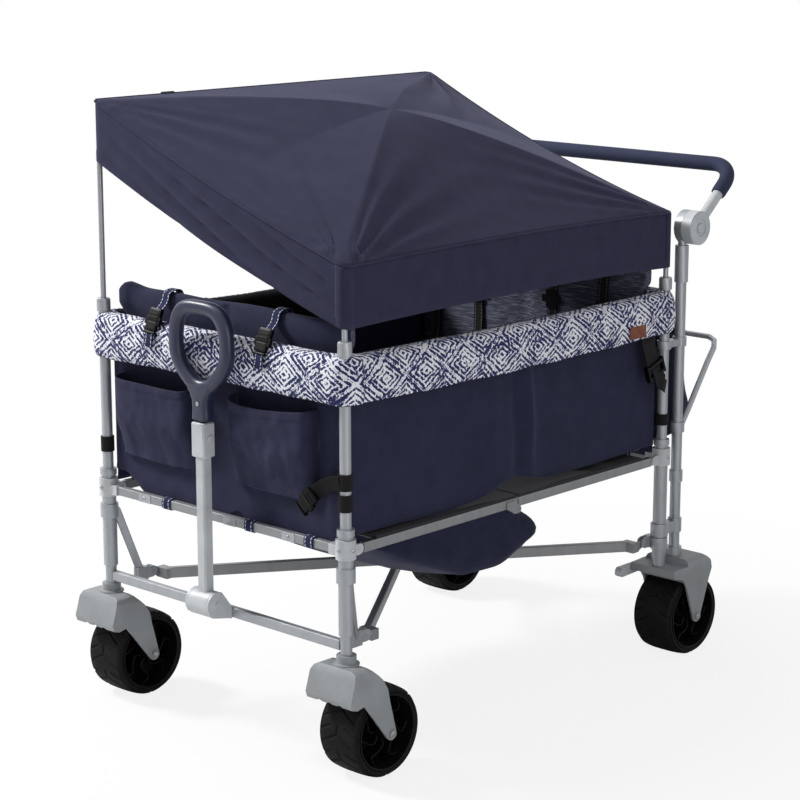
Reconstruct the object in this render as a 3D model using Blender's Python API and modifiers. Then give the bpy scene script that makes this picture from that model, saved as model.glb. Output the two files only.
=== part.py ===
"""Folding four-seat stroller wagon with a tilting canopy, a pull handle and a push handle.

Metres, +Z up. The front, with the pull handle, points along -Y, and the near side is +X.
The origin is on the ground under the middle of the bounding box's length and width.
"""

import math

import bmesh
import bpy
from mathutils import Matrix, Vector

# Fits
GAP = 0.0003
RUNNING = 0.0003
SEAM = 0.0005

# Upright posts
POST_X = 0.333
POST_Y = 0.480
UPPER_R = 0.011
LOWER_R = 0.0145
STUB_R = 0.0115
RING_R = 0.017
POST_TOP = 0.806
RING_BOTTOM = 0.472
RING_HEIGHT = 0.013
LOWER_TUBE_BOTTOM = 0.283
FRONT_POST_BOTTOM = 0.246
COLLAR_R = 0.0138
COLLAR_HEIGHT = 0.026
POLE_R = 0.0055
POLE_BORE_BOTTOM = 0.450

# Wheels
TYRE_R = 0.090
TYRE_WIDTH = 0.098
TYRE_SIDES = 24
RIM_R = 0.0731
RIM_WALL = 0.0035
BOSS_R = 0.014
SPOKES = 7
SPOKE_WALL = 0.003
AXLE_R = 0.005
AXLE_HEAD_R = 0.0085
AXLE_HEAD = 0.004
TRAIL = 0.060
REAR_AXLE_Y = 0.545
FORK_WALL = 0.005
FORK_SIDE_GAP = 0.0045
FORK_TYRE_GAP = 0.0065
FRONT_FORK_TOP = 0.228
REAR_FORK_TOP = 0.219
REAR_CUP_TOP = 0.206
STEM_R = 0.019

# Folding floor and braces
FOLD_Y = 0.450
FOLD_Z = 0.442
BAR_W = 0.013
BAR_H = 0.019
MID_PIN_DROP = 0.0045
PIN_R = 0.003
EAR_WALL = 0.0036
TONGUE = 0.0052
BOARD = 0.007
BOARD_END = 0.405
BRACE_Z = 0.252
EYE_RISE = 0.0066
HUB_PIN_DROP = 0.0070
HUB_PLAY = 0.0017
BRACE_KNEE_X = 0.303
BRACE_KNEE_Y = 0.400
BRACE_REAR_X = 0.312
BRACE_REAR_Y = 0.450
BRACE_W = 0.014
BRACE_H = 0.022
STRUT_TOP = 0.398
CROSS_BAR_Z = 0.262
TOP_RAIL_R = 0.008
TOP_RAIL_Z = 0.782

# Push posts and push handle
PUSH_POST_Y = 0.535
PUSH_POST_R = 0.0115
PUSH_SLEEVE_R = 0.0145
HUB_Y = 0.552
HUB_Z = 0.930
HUB_R = 0.036
HUB_INNER = 0.009
FIXED_HUB = 0.018
MOVING_HUB = 0.024
HANDLE_REACH = 0.183
HANDLE_ANGLE = math.radians(40.0)
HANDLE_BEND = 0.055
ARM_R = 0.0115
FOAM_R = 0.0155
FOAM_START = 0.100
BUTTON_R = 0.0105

# Rear U-bar
U_BAR_R = 0.0062
U_BAR_ROUTE = ((0.549, 0.502), (0.575, 0.536), (0.640, 0.628), (0.677, 0.674))

# Pull handle
PULL_Y = 0.523
PULL_Z = 0.284
BARREL_R = 0.028
BARREL_HALF = 0.0265
CHEEK = 0.005
PULL_TUBE_W = 0.024
PULL_TUBE_D = 0.023
PULL_TUBE_TOP = 0.580
PULL_COLLAR_W = 0.036
PULL_COLLAR_D = 0.031
PULL_COLLAR_BOTTOM = 0.572
PULL_COLLAR_TOP = 0.640
INNER_TUBE_W = 0.0155
INNER_TUBE_BOTTOM = 0.338
GRIP_BOTTOM = 0.688
GRIP_TOP = 0.872
GRIP_W = 0.176
GRIP_OPENING_W = 0.114
GRIP_OPENING_H = 0.132
GRIP_DEPTH = 0.028

# Padded rim
RIM_TOP = 0.804
RIM_BOTTOM = 0.718
PAD_OUT = 0.024
PAD_WALL = 0.008

# Fabric
CLOTH = 0.004
PANEL_BOTTOM = 0.474
PANEL_TOP = 0.768
END_PANEL_Y = 0.470
POCKET_BOTTOM = 0.542
POCKET_TOP = 0.686
POCKET_DEPTH = 0.040
POCKET_IN = 0.072
POCKET_OUT = 0.262
POUCH_HALF = 0.290
POUCH_DEPTH = 0.075
POUCH_BOTTOM = 0.478
POUCH_TOP = 0.685
BASKET_HALF = 0.280
BASKET_FRONT = -0.425
BASKET_REAR = 0.125
BASKET_DEPTH = 0.120
SEAT_HALF = 0.296
SEAT_BACK_Y = 0.4525
SEAT_BACK_THICK = 0.028
SEAT_BACK_TOP = 0.850
BENCH_DEPTH = 0.215
BENCH_THICK = 0.050
BENCH_TOP = 0.610

# Canopy
CANOPY_X = 0.346
CANOPY_Y = 0.492
CANOPY_FAR_Z = 1.2185
CANOPY_NEAR_Z = 0.9685
CANOPY_CROWN = 0.112
VALANCE = 0.112
RIB_R = 0.0035
RIB_DROP = 0.009
POLE_DROP = 0.0105
CANOPY_CLOTH = 0.0026

SIDES = (("near", 1), ("far", -1))
ENDS = (("front", -1), ("rear", 1))

SILVER = ((0.33, 0.34, 0.36), 0.38, 0.55)
LIGHT_GREY = ((0.48, 0.50, 0.52), 0.5, 0.0)
FORK_GREY = ((0.27, 0.28, 0.30), 0.5, 0.0)
HUB_BLACK = ((0.02, 0.02, 0.022), 0.5, 0.0)
NAVY = ((0.023, 0.024, 0.048), 0.85, 0.0)
NAVY_PLASTIC = ((0.04, 0.045, 0.085), 0.45, 0.0)
PRINT = ((0.45, 0.48, 0.62), 0.85, 0.0)
BLACK = ((0.012, 0.012, 0.012), 0.7, 0.0)

PARTS = "stroller_wagon"


def clear_scene():
    for thing in list(bpy.data.objects):
        bpy.data.objects.remove(thing)
    for group in list(bpy.data.collections):
        bpy.data.collections.remove(group)


def make_material(name, look):
    colour, roughness, metallic = look
    material = bpy.data.materials.new(name)
    material.use_nodes = True
    shader = material.node_tree.nodes["Principled BSDF"]
    shader.inputs["Base Color"].default_value = (*colour, 1.0)
    shader.inputs["Roughness"].default_value = roughness
    shader.inputs["Metallic"].default_value = metallic
    return material


def link(name, data):
    thing = bpy.data.objects.new(name, data)
    bpy.data.collections[PARTS].objects.link(thing)
    return thing


def from_bmesh(name, shape):
    bmesh.ops.recalc_face_normals(shape, faces=shape.faces)
    mesh = bpy.data.meshes.new(name)
    shape.to_mesh(mesh)
    shape.free()
    return link(name, mesh)


def flatten(thing):
    """Swap an object for a plain mesh of what the viewport shows, in world coordinates."""
    bpy.context.view_layer.update()
    seen = thing.evaluated_get(bpy.context.evaluated_depsgraph_get())
    mesh = bpy.data.meshes.new_from_object(seen)
    shape = bmesh.new()
    shape.from_mesh(mesh)
    bmesh.ops.transform(shape, matrix=thing.matrix_world, verts=shape.verts)
    bmesh.ops.remove_doubles(shape, verts=shape.verts, dist=0.00001)
    bmesh.ops.recalc_face_normals(shape, faces=shape.faces)
    name = thing.name
    bpy.data.objects.remove(thing)
    shape.to_mesh(mesh)
    shape.free()
    return link(name, mesh)


def combine(target, tools, operation):
    """Join or cut one mesh object with others, which are used up."""
    for tool in tools:
        step = target.modifiers.new("step", "BOOLEAN")
        step.operation = operation
        step.solver = "EXACT"
        step.object = tool
    result = flatten(target)
    for tool in tools:
        bpy.data.objects.remove(tool)
    return result


def join(target, *tools):
    return combine(target, tools, "UNION")


def cut(target, *tools):
    return combine(target, tools, "DIFFERENCE")


def turn_to(axis):
    """Rotation that takes +Z to the named axis."""
    if axis == "X":
        return Matrix.Rotation(math.pi / 2, 4, "Y")
    if axis == "Y":
        return Matrix.Rotation(-math.pi / 2, 4, "X")
    return Matrix.Identity(4)


def box(name, low, high, bevel=0.0):
    low, high = Vector(low), Vector(high)
    shape = bmesh.new()
    bmesh.ops.create_cube(shape, size=1.0)
    bmesh.ops.scale(shape, vec=high - low, verts=shape.verts)
    bmesh.ops.translate(shape, vec=(low + high) / 2, verts=shape.verts)
    if bevel:
        bmesh.ops.bevel(shape, geom=shape.edges, offset=bevel, segments=1, affect="EDGES")
    return from_bmesh(name, shape)


def bar(name, start, end, width, height, bevel=0.0015):
    """Rectangular tube from start to end: width is level, height is square to it."""
    start, end = Vector(start), Vector(end)
    along = (end - start).normalized()
    side = along.cross(Vector((0, 0, 1))).normalized()
    up = side.cross(along)
    shape = bmesh.new()
    bmesh.ops.create_cube(shape, size=1.0)
    bmesh.ops.scale(shape, vec=((end - start).length, width, height), verts=shape.verts)
    if bevel:
        lengthwise = [e for e in shape.edges if abs((e.verts[0].co - e.verts[1].co).x) > 0.002]
        bmesh.ops.bevel(shape, geom=lengthwise, offset=bevel, segments=1, affect="EDGES")
    frame = Matrix((along, side, up)).transposed().to_4x4()
    frame.translation = (start + end) / 2
    bmesh.ops.transform(shape, matrix=frame, verts=shape.verts)
    return from_bmesh(name, shape)


def rod(name, radius, start, end, sides=12):
    start, end = Vector(start), Vector(end)
    shape = bmesh.new()
    bmesh.ops.create_cone(
        shape, cap_ends=True, segments=sides, radius1=radius, radius2=radius, depth=(end - start).length
    )
    turn = Vector((0, 0, 1)).rotation_difference(end - start).to_matrix().to_4x4()
    turn.translation = (start + end) / 2
    bmesh.ops.transform(shape, matrix=turn, verts=shape.verts)
    return from_bmesh(name, shape)


def turned(name, profile, centre, axis="Z", sides=16, phase=0.0):
    """Revolve a profile of (radius, height) points, written down its outer side, about an axis."""
    mesh = bpy.data.meshes.new(name)
    closed = profile[0][0] > 0
    edges = [(i, i + 1) for i in range(len(profile) - 1)]
    if closed:
        edges.append((len(profile) - 1, 0))
    mesh.from_pydata([(r, 0, z) for r, z in profile], edges, [])
    thing = link(name, mesh)
    screw = thing.modifiers.new("turn", "SCREW")
    screw.steps = sides
    screw.render_steps = sides
    screw.use_merge_vertices = True
    screw.merge_threshold = 0.00001
    thing.matrix_world = Matrix.Translation(centre) @ turn_to(axis) @ Matrix.Rotation(phase, 4, "Z")
    return flatten(thing)


def tube(name, points, radius, sides=12):
    curve = bpy.data.curves.new(name, "CURVE")
    curve.dimensions = "3D"
    curve.bevel_depth = radius
    curve.bevel_resolution = (sides - 4) // 2
    curve.use_fill_caps = True
    spline = curve.splines.new("POLY")
    spline.points.add(len(points) - 1)
    for knot, point in zip(spline.points, points):
        knot.co = (*point, 1.0)
    return flatten(link(name, curve))


def outline_plate(name, outlines, low, high, plane="YZ", edge=0.0):
    """Plate from flat outlines, extruded from low to high along the plane's normal."""
    curve = bpy.data.curves.new(name, "CURVE")
    curve.dimensions = "2D"
    curve.fill_mode = "BOTH"
    curve.extrude = (high - low) / 2 - edge
    curve.bevel_depth = edge
    curve.bevel_resolution = 0
    curve.offset = -edge
    for outline in outlines:
        spline = curve.splines.new("POLY")
        spline.points.add(len(outline) - 1)
        spline.use_cyclic_u = True
        for knot, (a, b) in zip(spline.points, outline):
            knot.co = (a, b, 0.0, 1.0)
    thing = link(name, curve)
    middle = (low + high) / 2
    if plane == "YZ":
        place = Matrix(((0, 0, 1, middle), (1, 0, 0, 0), (0, 1, 0, 0), (0, 0, 0, 1)))
    elif plane == "XZ":
        place = Matrix(((1, 0, 0, 0), (0, 0, -1, middle), (0, 1, 0, 0), (0, 0, 0, 1)))
    else:
        place = Matrix.Translation((0, 0, middle))
    thing.matrix_world = place
    return flatten(thing)


def rounded(points, radius, steps=3, closed=True):
    """Points of a path whose corners are arcs."""
    result = []
    count = len(points)
    for i, point in enumerate(points):
        here = Vector(point)
        if not closed and i in (0, count - 1):
            result.append(tuple(here))
            continue
        before = (Vector(points[i - 1]) - here).normalized()
        after = (Vector(points[(i + 1) % count]) - here).normalized()
        half = before.angle(after) / 2
        reach = radius / math.tan(half)
        centre = here + (before + after).normalized() * (radius / math.sin(half))
        first = here + before * reach - centre
        last = here + after * reach - centre
        across = (last - first * first.dot(last) / radius**2).normalized() * radius
        sweep = first.angle(last)
        for k in range(steps + 1):
            turn = sweep * k / steps
            result.append(tuple(centre + first * math.cos(turn) + across * math.sin(turn)))
    return result


def arc(centre, radius, start, stop, steps):
    """Points of a flat arc between two angles in degrees; a negative radius turns it to face -Y."""
    points = []
    for k in range(steps + 1):
        angle = math.radians(start + (stop - start) * k / steps)
        points.append((centre[0] + radius * math.cos(angle), centre[1] + abs(radius) * math.sin(angle)))
    return points


def grid_sheet(name, columns, rows, place, thickness):
    """Cloth: a grid over (0..1, 0..1) put in place by a function, thickened to both sides."""
    shape = bmesh.new()
    bmesh.ops.create_grid(shape, x_segments=columns, y_segments=rows, size=0.5)
    for corner in shape.verts:
        corner.co = Vector(place(corner.co.x + 0.5, corner.co.y + 0.5))
    sheet = from_bmesh(name, shape)
    solid = sheet.modifiers.new("cloth", "SOLIDIFY")
    solid.thickness = thickness
    solid.offset = 0.0
    return flatten(sheet)


def pillow(name, low, high, cuts, bulge):
    """Cushion: a divided box whose faces crown by bulge and whose edges draw in."""
    low, high = Vector(low), Vector(high)
    shape = bmesh.new()
    bmesh.ops.create_cube(shape, size=2.0)
    bmesh.ops.subdivide_edges(shape, edges=shape.edges, cuts=cuts, use_grid_fill=True)
    centre = (low + high) / 2
    half = (high - low) / 2
    for corner in shape.verts:
        u = corner.co.copy()
        falls = [1.0 - abs(value) ** 4 for value in u]
        for axis in range(3):
            others = falls[(axis + 1) % 3] * falls[(axis + 2) % 3]
            inset = bulge[axis] * (1.0 - others) * abs(u[axis])
            corner.co[axis] = centre[axis] + u[axis] * (half[axis] - inset)
    return from_bmesh(name, shape)


def open_box(name, low, high, wall, taper=0.0, sag=0.0, fixed_side=0, cuts=2):
    """Fabric box with an open top, drawn in by taper at its floor, which sags by sag."""
    low, high = Vector(low), Vector(high)
    shape = bmesh.new()
    bmesh.ops.create_cube(shape, size=2.0)
    bmesh.ops.subdivide_edges(shape, edges=shape.edges, cuts=cuts, use_grid_fill=True)
    top = [face for face in shape.faces if face.normal.z > 0.9]
    bmesh.ops.delete(shape, geom=top, context="FACES")
    centre = (low + high) / 2
    half = (high - low) / 2
    for corner in shape.verts:
        u = corner.co.copy()
        depth = (1.0 - u.z) / 2
        drop = sag * depth * (1.0 - u.x * u.x * 0.8) * (1.0 - u.y * u.y * 0.8)
        corner.co.x = centre.x + u.x * (half.x - taper * depth)
        front_pull = 0.0 if fixed_side < 0 else (1.0 - u.y) / 2
        rear_pull = 0.0 if fixed_side > 0 else (1.0 + u.y) / 2
        corner.co.y = centre.y + u.y * half.y + taper * depth * (front_pull - rear_pull)
        corner.co.z = high.z - (high.z - low.z - sag) * depth - drop
    bmesh.ops.recalc_face_normals(shape, faces=shape.faces)
    shell = from_bmesh(name, shape)
    solid = shell.modifiers.new("cloth", "SOLIDIFY")
    solid.thickness = wall
    solid.offset = 0.0
    return flatten(shell)


def finish(thing, look_name):
    """Give a part its material and smooth shading with crisp edges."""
    thing.data.materials.clear()
    thing.data.materials.append(bpy.data.materials[look_name])
    thing.data.shade_smooth()
    thing.data.set_sharp_from_angle(angle=math.radians(35))
    return thing


def ride(name, place, parts):
    """Parent moving parts to an empty on their joint's axis."""
    pivot = bpy.data.objects.new(name + "_axis", None)
    bpy.data.collections[PARTS].objects.link(pivot)
    pivot.matrix_world = Matrix.Translation(place)
    bpy.context.view_layer.update()
    for part in parts:
        part.parent = pivot
        part.matrix_parent_inverse = pivot.matrix_world.inverted()
    return pivot


def axle_height():
    """The tyre is a faceted ring that stands on one of its flats."""
    return TYRE_R * math.cos(math.pi / TYRE_SIDES)


def post(name, end, side, look="silver"):
    x, y = side * POST_X, end * POST_Y
    top = POST_TOP + COLLAR_HEIGHT
    ring_top = RING_BOTTOM + RING_HEIGHT
    profile = [
        (0, POLE_BORE_BOTTOM),
        (POLE_R + SEAM, POLE_BORE_BOTTOM),
        (POLE_R + SEAM, top),
        (COLLAR_R - 0.002, top),
        (COLLAR_R, top - 0.003),
        (COLLAR_R, POST_TOP),
        (UPPER_R, POST_TOP),
        (UPPER_R, ring_top),
        (RING_R, ring_top),
        (RING_R, RING_BOTTOM),
        (LOWER_R, RING_BOTTOM),
    ]
    if end < 0:
        profile += [(LOWER_R, LOWER_TUBE_BOTTOM), (STUB_R, LOWER_TUBE_BOTTOM)]
        profile += [(STUB_R, FRONT_POST_BOTTOM), (0, FRONT_POST_BOTTOM)]
    else:
        bottom = REAR_CUP_TOP + GAP
        profile += [(LOWER_R, bottom), (0, bottom)]
    body = turned(name, profile, (x, y, 0), sides=12)
    if end < 0:
        body = join(body, *brace_strut(side))
    else:
        body = join(body, *brace_bracket(side))
    return finish(body, look)


def clevis_ears(name, x, y, z, reach_y, direction, radius=0.012, rise=0.0, cut_back=0.0):
    """Two round-ended ears in the YZ plane, from the pin at (y, z) back to reach_y."""
    ears = []
    inner = TONGUE / 2 + RUNNING + 0.0004
    for sign in (-1, 1):
        low = x + sign * inner if sign > 0 else x - inner - EAR_WALL
        nose = arc((y, z), direction * radius, -90, 90, 4)
        nose += [(reach_y, z + radius + rise), (reach_y, z - radius + cut_back)]
        ears.append(outline_plate(f"{name}_{sign}", [nose], low, low + EAR_WALL))
    return ears


def clevis_pin(name, x, y, z):
    reach = TONGUE / 2 + RUNNING + 0.0004 + EAR_WALL
    return rod(name, PIN_R, (x - reach - 0.001, y, z), (x + reach + 0.001, y, z), sides=8)


def brace_strut(side):
    """Clamp on a front post, a strut down to the knee, and the knee's clevis."""
    x, y = side * POST_X, -POST_Y
    knee_x = side * BRACE_KNEE_X
    block_back = -BRACE_KNEE_Y - 0.0135
    block_front = block_back - 0.026
    half = TONGUE / 2 + RUNNING + 0.0004 + EAR_WALL
    clamp = rod("clamp", LOWER_R + 0.004, (x, y, STRUT_TOP - 0.014), (x, y, STRUT_TOP + 0.014))
    block = box(
        "block",
        (knee_x - half - 0.0006, block_front, BRACE_Z - 0.010),
        (knee_x + half + 0.0006, block_back, BRACE_Z + 0.020),
    )
    strut = bar(
        "strut",
        (side * (POST_X - 0.006), -POST_Y + 0.012, STRUT_TOP),
        (knee_x, block_back - 0.013, BRACE_Z + 0.006),
        0.012,
        0.016,
    )
    eye_z = BRACE_Z + EYE_RISE
    ears = clevis_ears("ear", knee_x, -BRACE_KNEE_Y, eye_z, block_back - 0.004, 1)
    return [clamp, block, strut, *ears, clevis_pin("pin", knee_x, -BRACE_KNEE_Y, eye_z)]


def brace_bracket(side):
    """Low clamp on a rear post with the clevis of the rear brace."""
    x, y = side * POST_X, POST_Y
    eye_x = side * BRACE_REAR_X
    half = TONGUE / 2 + RUNNING + 0.0004 + EAR_WALL
    eye_z = BRACE_Z + EYE_RISE
    clamp = rod("clamp", LOWER_R + 0.004, (x, y, eye_z - 0.015), (x, y, eye_z + 0.011))
    block_front = BRACE_REAR_Y + 0.0135
    block = box(
        "block",
        (eye_x - half - 0.0006, block_front, eye_z - 0.013),
        (eye_x + half + 0.0006, block_front + 0.018, eye_z + 0.0125),
    )
    ears = clevis_ears("ear", eye_x, BRACE_REAR_Y, eye_z, block_front + 0.004, -1)
    return [clamp, block, *ears, clevis_pin("pin", eye_x, BRACE_REAR_Y, eye_z)]


def floor_collar(name, end, side):
    """Ring on the lower tube with a clevis for the side bar and a boss for the end bar."""
    x, y = side * POST_X, end * POST_Y
    low, high = FOLD_Z - 0.013, RING_BOTTOM - 0.006
    ring_out = LOWER_R + 0.005
    ring = turned(
        name,
        [(ring_out, high), (ring_out, low), (LOWER_R + GAP, low), (LOWER_R + GAP, high)],
        (x, y, 0),
        sides=12,
    )
    pin_y = end * FOLD_Y
    wall_y = end * (POST_Y - LOWER_R - 0.0025)
    ears = clevis_ears("ear", x, pin_y, FOLD_Z, wall_y, -end, radius=0.0105)
    inner = side * (POST_X - LOWER_R - 0.001)
    boss_end = side * (POST_X - 0.035)
    boss = box(
        "boss",
        (min(inner, boss_end), y - 0.010, FOLD_Z - 0.008),
        (max(inner, boss_end), y + 0.010, FOLD_Z + 0.012),
    )
    ring = join(ring, *ears, boss, clevis_pin("pin", x, pin_y, FOLD_Z))
    return finish(ring, "light_grey")


def end_bar(name, end):
    reach = POST_X - 0.035 - GAP
    y = end * POST_Y
    z = FOLD_Z + 0.002
    return finish(bar(name, (-reach, y, z), (reach, y, z), 0.014, 0.018), "silver")


def front_cross_bar():
    reach = POST_X - STUB_R - GAP
    y = -POST_Y
    return finish(
        bar("front_cross_bar", (-reach, y, CROSS_BAR_Z), (reach, y, CROSS_BAR_Z), 0.014, 0.020), "silver"
    )


def top_rail(name, end):
    reach = POST_X - UPPER_R - GAP
    y = end * POST_Y
    return finish(rod(name, TOP_RAIL_R, (-reach, y, TOP_RAIL_Z), (reach, y, TOP_RAIL_Z)), "silver")


def fork_half():
    """Half of a fork's outer width."""
    return TYRE_WIDTH / 2 + FORK_SIDE_GAP + FORK_WALL


def fork(name, x, axle_y, silhouette, cavity, extra, holes):
    """Moulded fork: a side silhouette with rounded shoulders, hollowed for the wheel."""
    half = fork_half()
    inner = half - FORK_WALL
    top = max(z for _, z in silhouette)
    arch = [(x - half, -0.02), (x + half, -0.02), (x + half, top - 0.016), (x + half - 0.005, top - 0.005)]
    arch += [(x + half - 0.016, top), (x - half + 0.016, top), (x - half + 0.005, top - 0.005)]
    arch += [(x - half, top - 0.016)]
    body = outline_plate(name, [silhouette], x - half, x + half)
    sleeve = outline_plate("arch", [arch], axle_y - 0.2, axle_y + 0.2, plane="XZ")
    body = combine(body, [sleeve], "INTERSECT")
    hollow = outline_plate("cavity", [cavity], x - inner, x + inner)
    body = cut(body, hollow)
    body = join(body, *extra)
    axle_z = axle_height()
    reach = half + AXLE_HEAD
    bolt = turned(
        "bolt",
        [(0, reach), (AXLE_HEAD_R, reach), (AXLE_HEAD_R, half - 0.001)]
        + [(AXLE_R, half - 0.001), (AXLE_R, 0.001 - half)]
        + [(AXLE_HEAD_R, 0.001 - half), (AXLE_HEAD_R, -reach), (0, -reach)],
        (x, axle_y, axle_z),
        axis="X",
        sides=12,
    )
    body = join(body, bolt)
    if holes:
        body = cut(body, *holes)
    return finish(body, "fork_grey")


def front_fork(name, side):
    x, post_y = side * POST_X, -POST_Y
    axle_y = post_y + TRAIL
    z = axle_height()
    top = FRONT_FORK_TOP
    silhouette = [
        (post_y - 0.028, top),
        (post_y - 0.036, top - 0.012),
        (post_y - 0.049, top - 0.054),
        (post_y - 0.045, top - 0.066),
        (post_y - 0.032, top - 0.070),
        (post_y - 0.012, top - 0.066),
        *arc((axle_y, z), 0.0125, 215, 385, 5),
        (post_y + 0.055, top - 0.072),
        (post_y + 0.050, top - 0.048),
        (post_y + 0.036, top - 0.026),
        (post_y + 0.008, top),
    ]
    roof = TYRE_R + z + FORK_TYRE_GAP
    cavity = [
        (post_y - 0.030, roof + 0.018),
        (post_y - 0.044, top - 0.056),
        (post_y - 0.044, 0.02),
        (axle_y + 0.10, 0.02),
        (axle_y + 0.10, roof + 0.018),
    ]
    boss = rod("boss", 0.022, (x, post_y, roof + 0.002), (x, post_y, top - 0.003))
    stem_top = FRONT_POST_BOTTOM - GAP
    stem = turned(
        "stem",
        [(0, stem_top), (STEM_R, stem_top), (STEM_R, top + 0.004)]
        + [(STEM_R + 0.006, top + 0.002), (STEM_R + 0.006, top - 0.001), (0, top - 0.001)],
        (x, post_y, 0),
    )
    low = top - 0.072
    scallops = [
        rod("scallop", 0.009, (x + 0.026 * i, post_y - 0.06, low), (x + 0.026 * i, post_y - 0.02, low), sides=8)
        for i in (-1, 0, 1)
    ]
    return fork(name, x, axle_y, silhouette, cavity, [boss, stem], scallops)


def pedal_place():
    """Y and Z of the brake pedals' axis."""
    return (REAR_AXLE_Y - 0.012, REAR_CUP_TOP - 0.018)


def rear_fork(name, side):
    x, post_y = side * POST_X, POST_Y
    axle_y = REAR_AXLE_Y
    z = axle_height()
    top = REAR_FORK_TOP
    silhouette = [
        (post_y + 0.036, top),
        (post_y + 0.030, REAR_CUP_TOP),
        (post_y - 0.020, REAR_CUP_TOP),
        (post_y - 0.022, REAR_CUP_TOP - 0.016),
        (post_y + 0.012, REAR_CUP_TOP - 0.026),
        (post_y + 0.024, REAR_CUP_TOP - 0.042),
        *arc((axle_y, z), 0.0135, 190, 368, 5),
        (post_y + 0.106, REAR_CUP_TOP - 0.040),
        (post_y + 0.116, top - 0.032),
        (post_y + 0.112, top - 0.012),
        (post_y + 0.100, top),
    ]
    hollow_r = TYRE_R + FORK_TYRE_GAP
    cavity = arc((axle_y, z), hollow_r, 0, 180, 12)
    cavity += [(axle_y - hollow_r, -0.02), (axle_y + hollow_r, -0.02)]
    cheek = fork_half()
    pin_y, pin_z = pedal_place()
    start = (side * (POST_X - cheek + 0.0005), pin_y, pin_z)
    stop = (side * (POST_X - cheek - 0.0245), pin_y, pin_z)
    return fork(name, x, axle_y, silhouette, cavity, [rod("pedal_pin", 0.004, start, stop, sides=8)], [])


def brake_pedal(name, side):
    """Foot lever on the pin inside the rear fork."""
    outer = POST_X - fork_half() - 0.001
    low, high = sorted((side * (outer - 0.018), side * outer))
    y, z = pedal_place()
    toe = POST_Y - 0.052
    lever = arc((y, z), 0.010, -90, 90, 4)
    lever += [(POST_Y + 0.010, z + 0.008), (toe + 0.006, z + 0.008), (toe, z + 0.002)]
    lever += [(toe, z - 0.008), (toe + 0.006, z - 0.012), (POST_Y + 0.010, z - 0.010)]
    pedal = outline_plate(name, [lever], low, high)
    hole = rod("hole", 0.004 + RUNNING, (low - 0.01, y, z), (high + 0.01, y, z), sides=10)
    return finish(cut(pedal, hole), "light_grey")


def tyre(name, x, y):
    half = TYRE_WIDTH / 2
    profile = [
        (RIM_R, half),
        (TYRE_R - 0.008, half),
        (TYRE_R - 0.0025, half - 0.005),
        (TYRE_R, 0.014),
        (TYRE_R, -0.014),
        (TYRE_R - 0.0025, 0.005 - half),
        (TYRE_R - 0.008, -half),
        (RIM_R, -half),
    ]
    phase = math.pi / TYRE_SIDES
    ring = turned(name, profile, (x, y, axle_height()), axis="X", sides=TYRE_SIDES, phase=phase)
    return finish(ring, "black")


def spoke_outline(angle, y, z):
    """One curved blade of the hub, seen along the axle."""
    inner, outer = BOSS_R - 0.002, RIM_R - RIM_WALL + 0.001
    left, right = [], []
    for k in range(3):
        radius = inner + (outer - inner) * k / 2
        bend = angle + 0.55 * math.sin(math.pi * k / 4)
        for side, wing in ((1, left), (-1, right)):
            offset = side * SPOKE_WALL / 2 / radius
            wing.append((y + radius * math.cos(bend + offset), z + radius * math.sin(bend + offset)))
    return right + left[::-1]


def hub(name, x, y):
    """Deep rim barrel, boss and curved spokes."""
    half = TYRE_WIDTH / 2 - 0.003
    outer, inner = RIM_R - GAP, RIM_R - GAP - RIM_WALL
    z = axle_height()
    ring = [(outer, half), (outer, -half), (inner, -half), (inner, half)]
    barrel = turned(name, ring, (x, y, z), axis="X", sides=TYRE_SIDES, phase=math.pi / TYRE_SIDES)
    reach = TYRE_WIDTH / 2 + FORK_SIDE_GAP - 0.0012
    bore = AXLE_R + RUNNING
    core = [(BOSS_R, reach), (BOSS_R, -reach), (bore, -reach), (bore, reach)]
    boss = turned("boss", core, (x, y, z), axis="X", sides=12)
    blades = [
        outline_plate("spoke", [spoke_outline(2 * math.pi * k / SPOKES, y, z)], x - 0.030, x + 0.030)
        for k in range(SPOKES)
    ]
    return finish(join(barrel, *blades, boss), "hub_black")


def mid_pin_height():
    """The mid pins lie under the bars, so the floor can only fold upwards."""
    return FOLD_Z - BAR_H / 2 - MID_PIN_DROP


def half_floor(name, end):
    """Two side bars with end tongues and lap hinges, and the board across them."""
    pieces = []
    pin_y = end * FOLD_Y
    bar_end = end * (FOLD_Y - 0.0125)
    mid_z = mid_pin_height()
    for _, side in SIDES:
        x = side * POST_X
        pieces.append(bar("side_bar", (x, end * 0.002, FOLD_Z), (x, bar_end, FOLD_Z), BAR_W, BAR_H))
        eye = arc((pin_y, FOLD_Z), end * 0.009, -90, 90, 4)
        eye += [(bar_end - end * 0.006, FOLD_Z + 0.009), (bar_end - end * 0.006, FOLD_Z - 0.009)]
        tongue = outline_plate("tongue", [eye], x - TONGUE / 2, x + TONGUE / 2)
        hole = rod("hole", PIN_R + RUNNING, (x - 0.02, pin_y, FOLD_Z), (x + 0.02, pin_y, FOLD_Z), sides=10)
        pieces.append(cut(tongue, hole))
        pieces.extend(mid_hinge(end, side, mid_z))
    board_low = FOLD_Z + BAR_H / 2 - 0.001
    pieces.append(
        box(
            "board",
            (-POST_X - BAR_W / 2 + 0.0005, min(end * 0.005, end * BOARD_END), board_low),
            (POST_X + BAR_W / 2 - 0.0005, max(end * 0.005, end * BOARD_END), board_low + BOARD),
        )
    )
    first = pieces[0]
    first.name = name
    body = join(first, *pieces[1:])
    if end > 0:
        reach = POST_X - BAR_W / 2 - 0.0002
        holes = [
            rod("hole", PIN_R + RUNNING, (s * (reach - 0.02), 0, mid_z), (s * reach, 0, mid_z), sides=10)
            for _, s in SIDES
        ]
        body = cut(body, *holes)
    body.name = name
    return finish(body, "silver")


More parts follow.
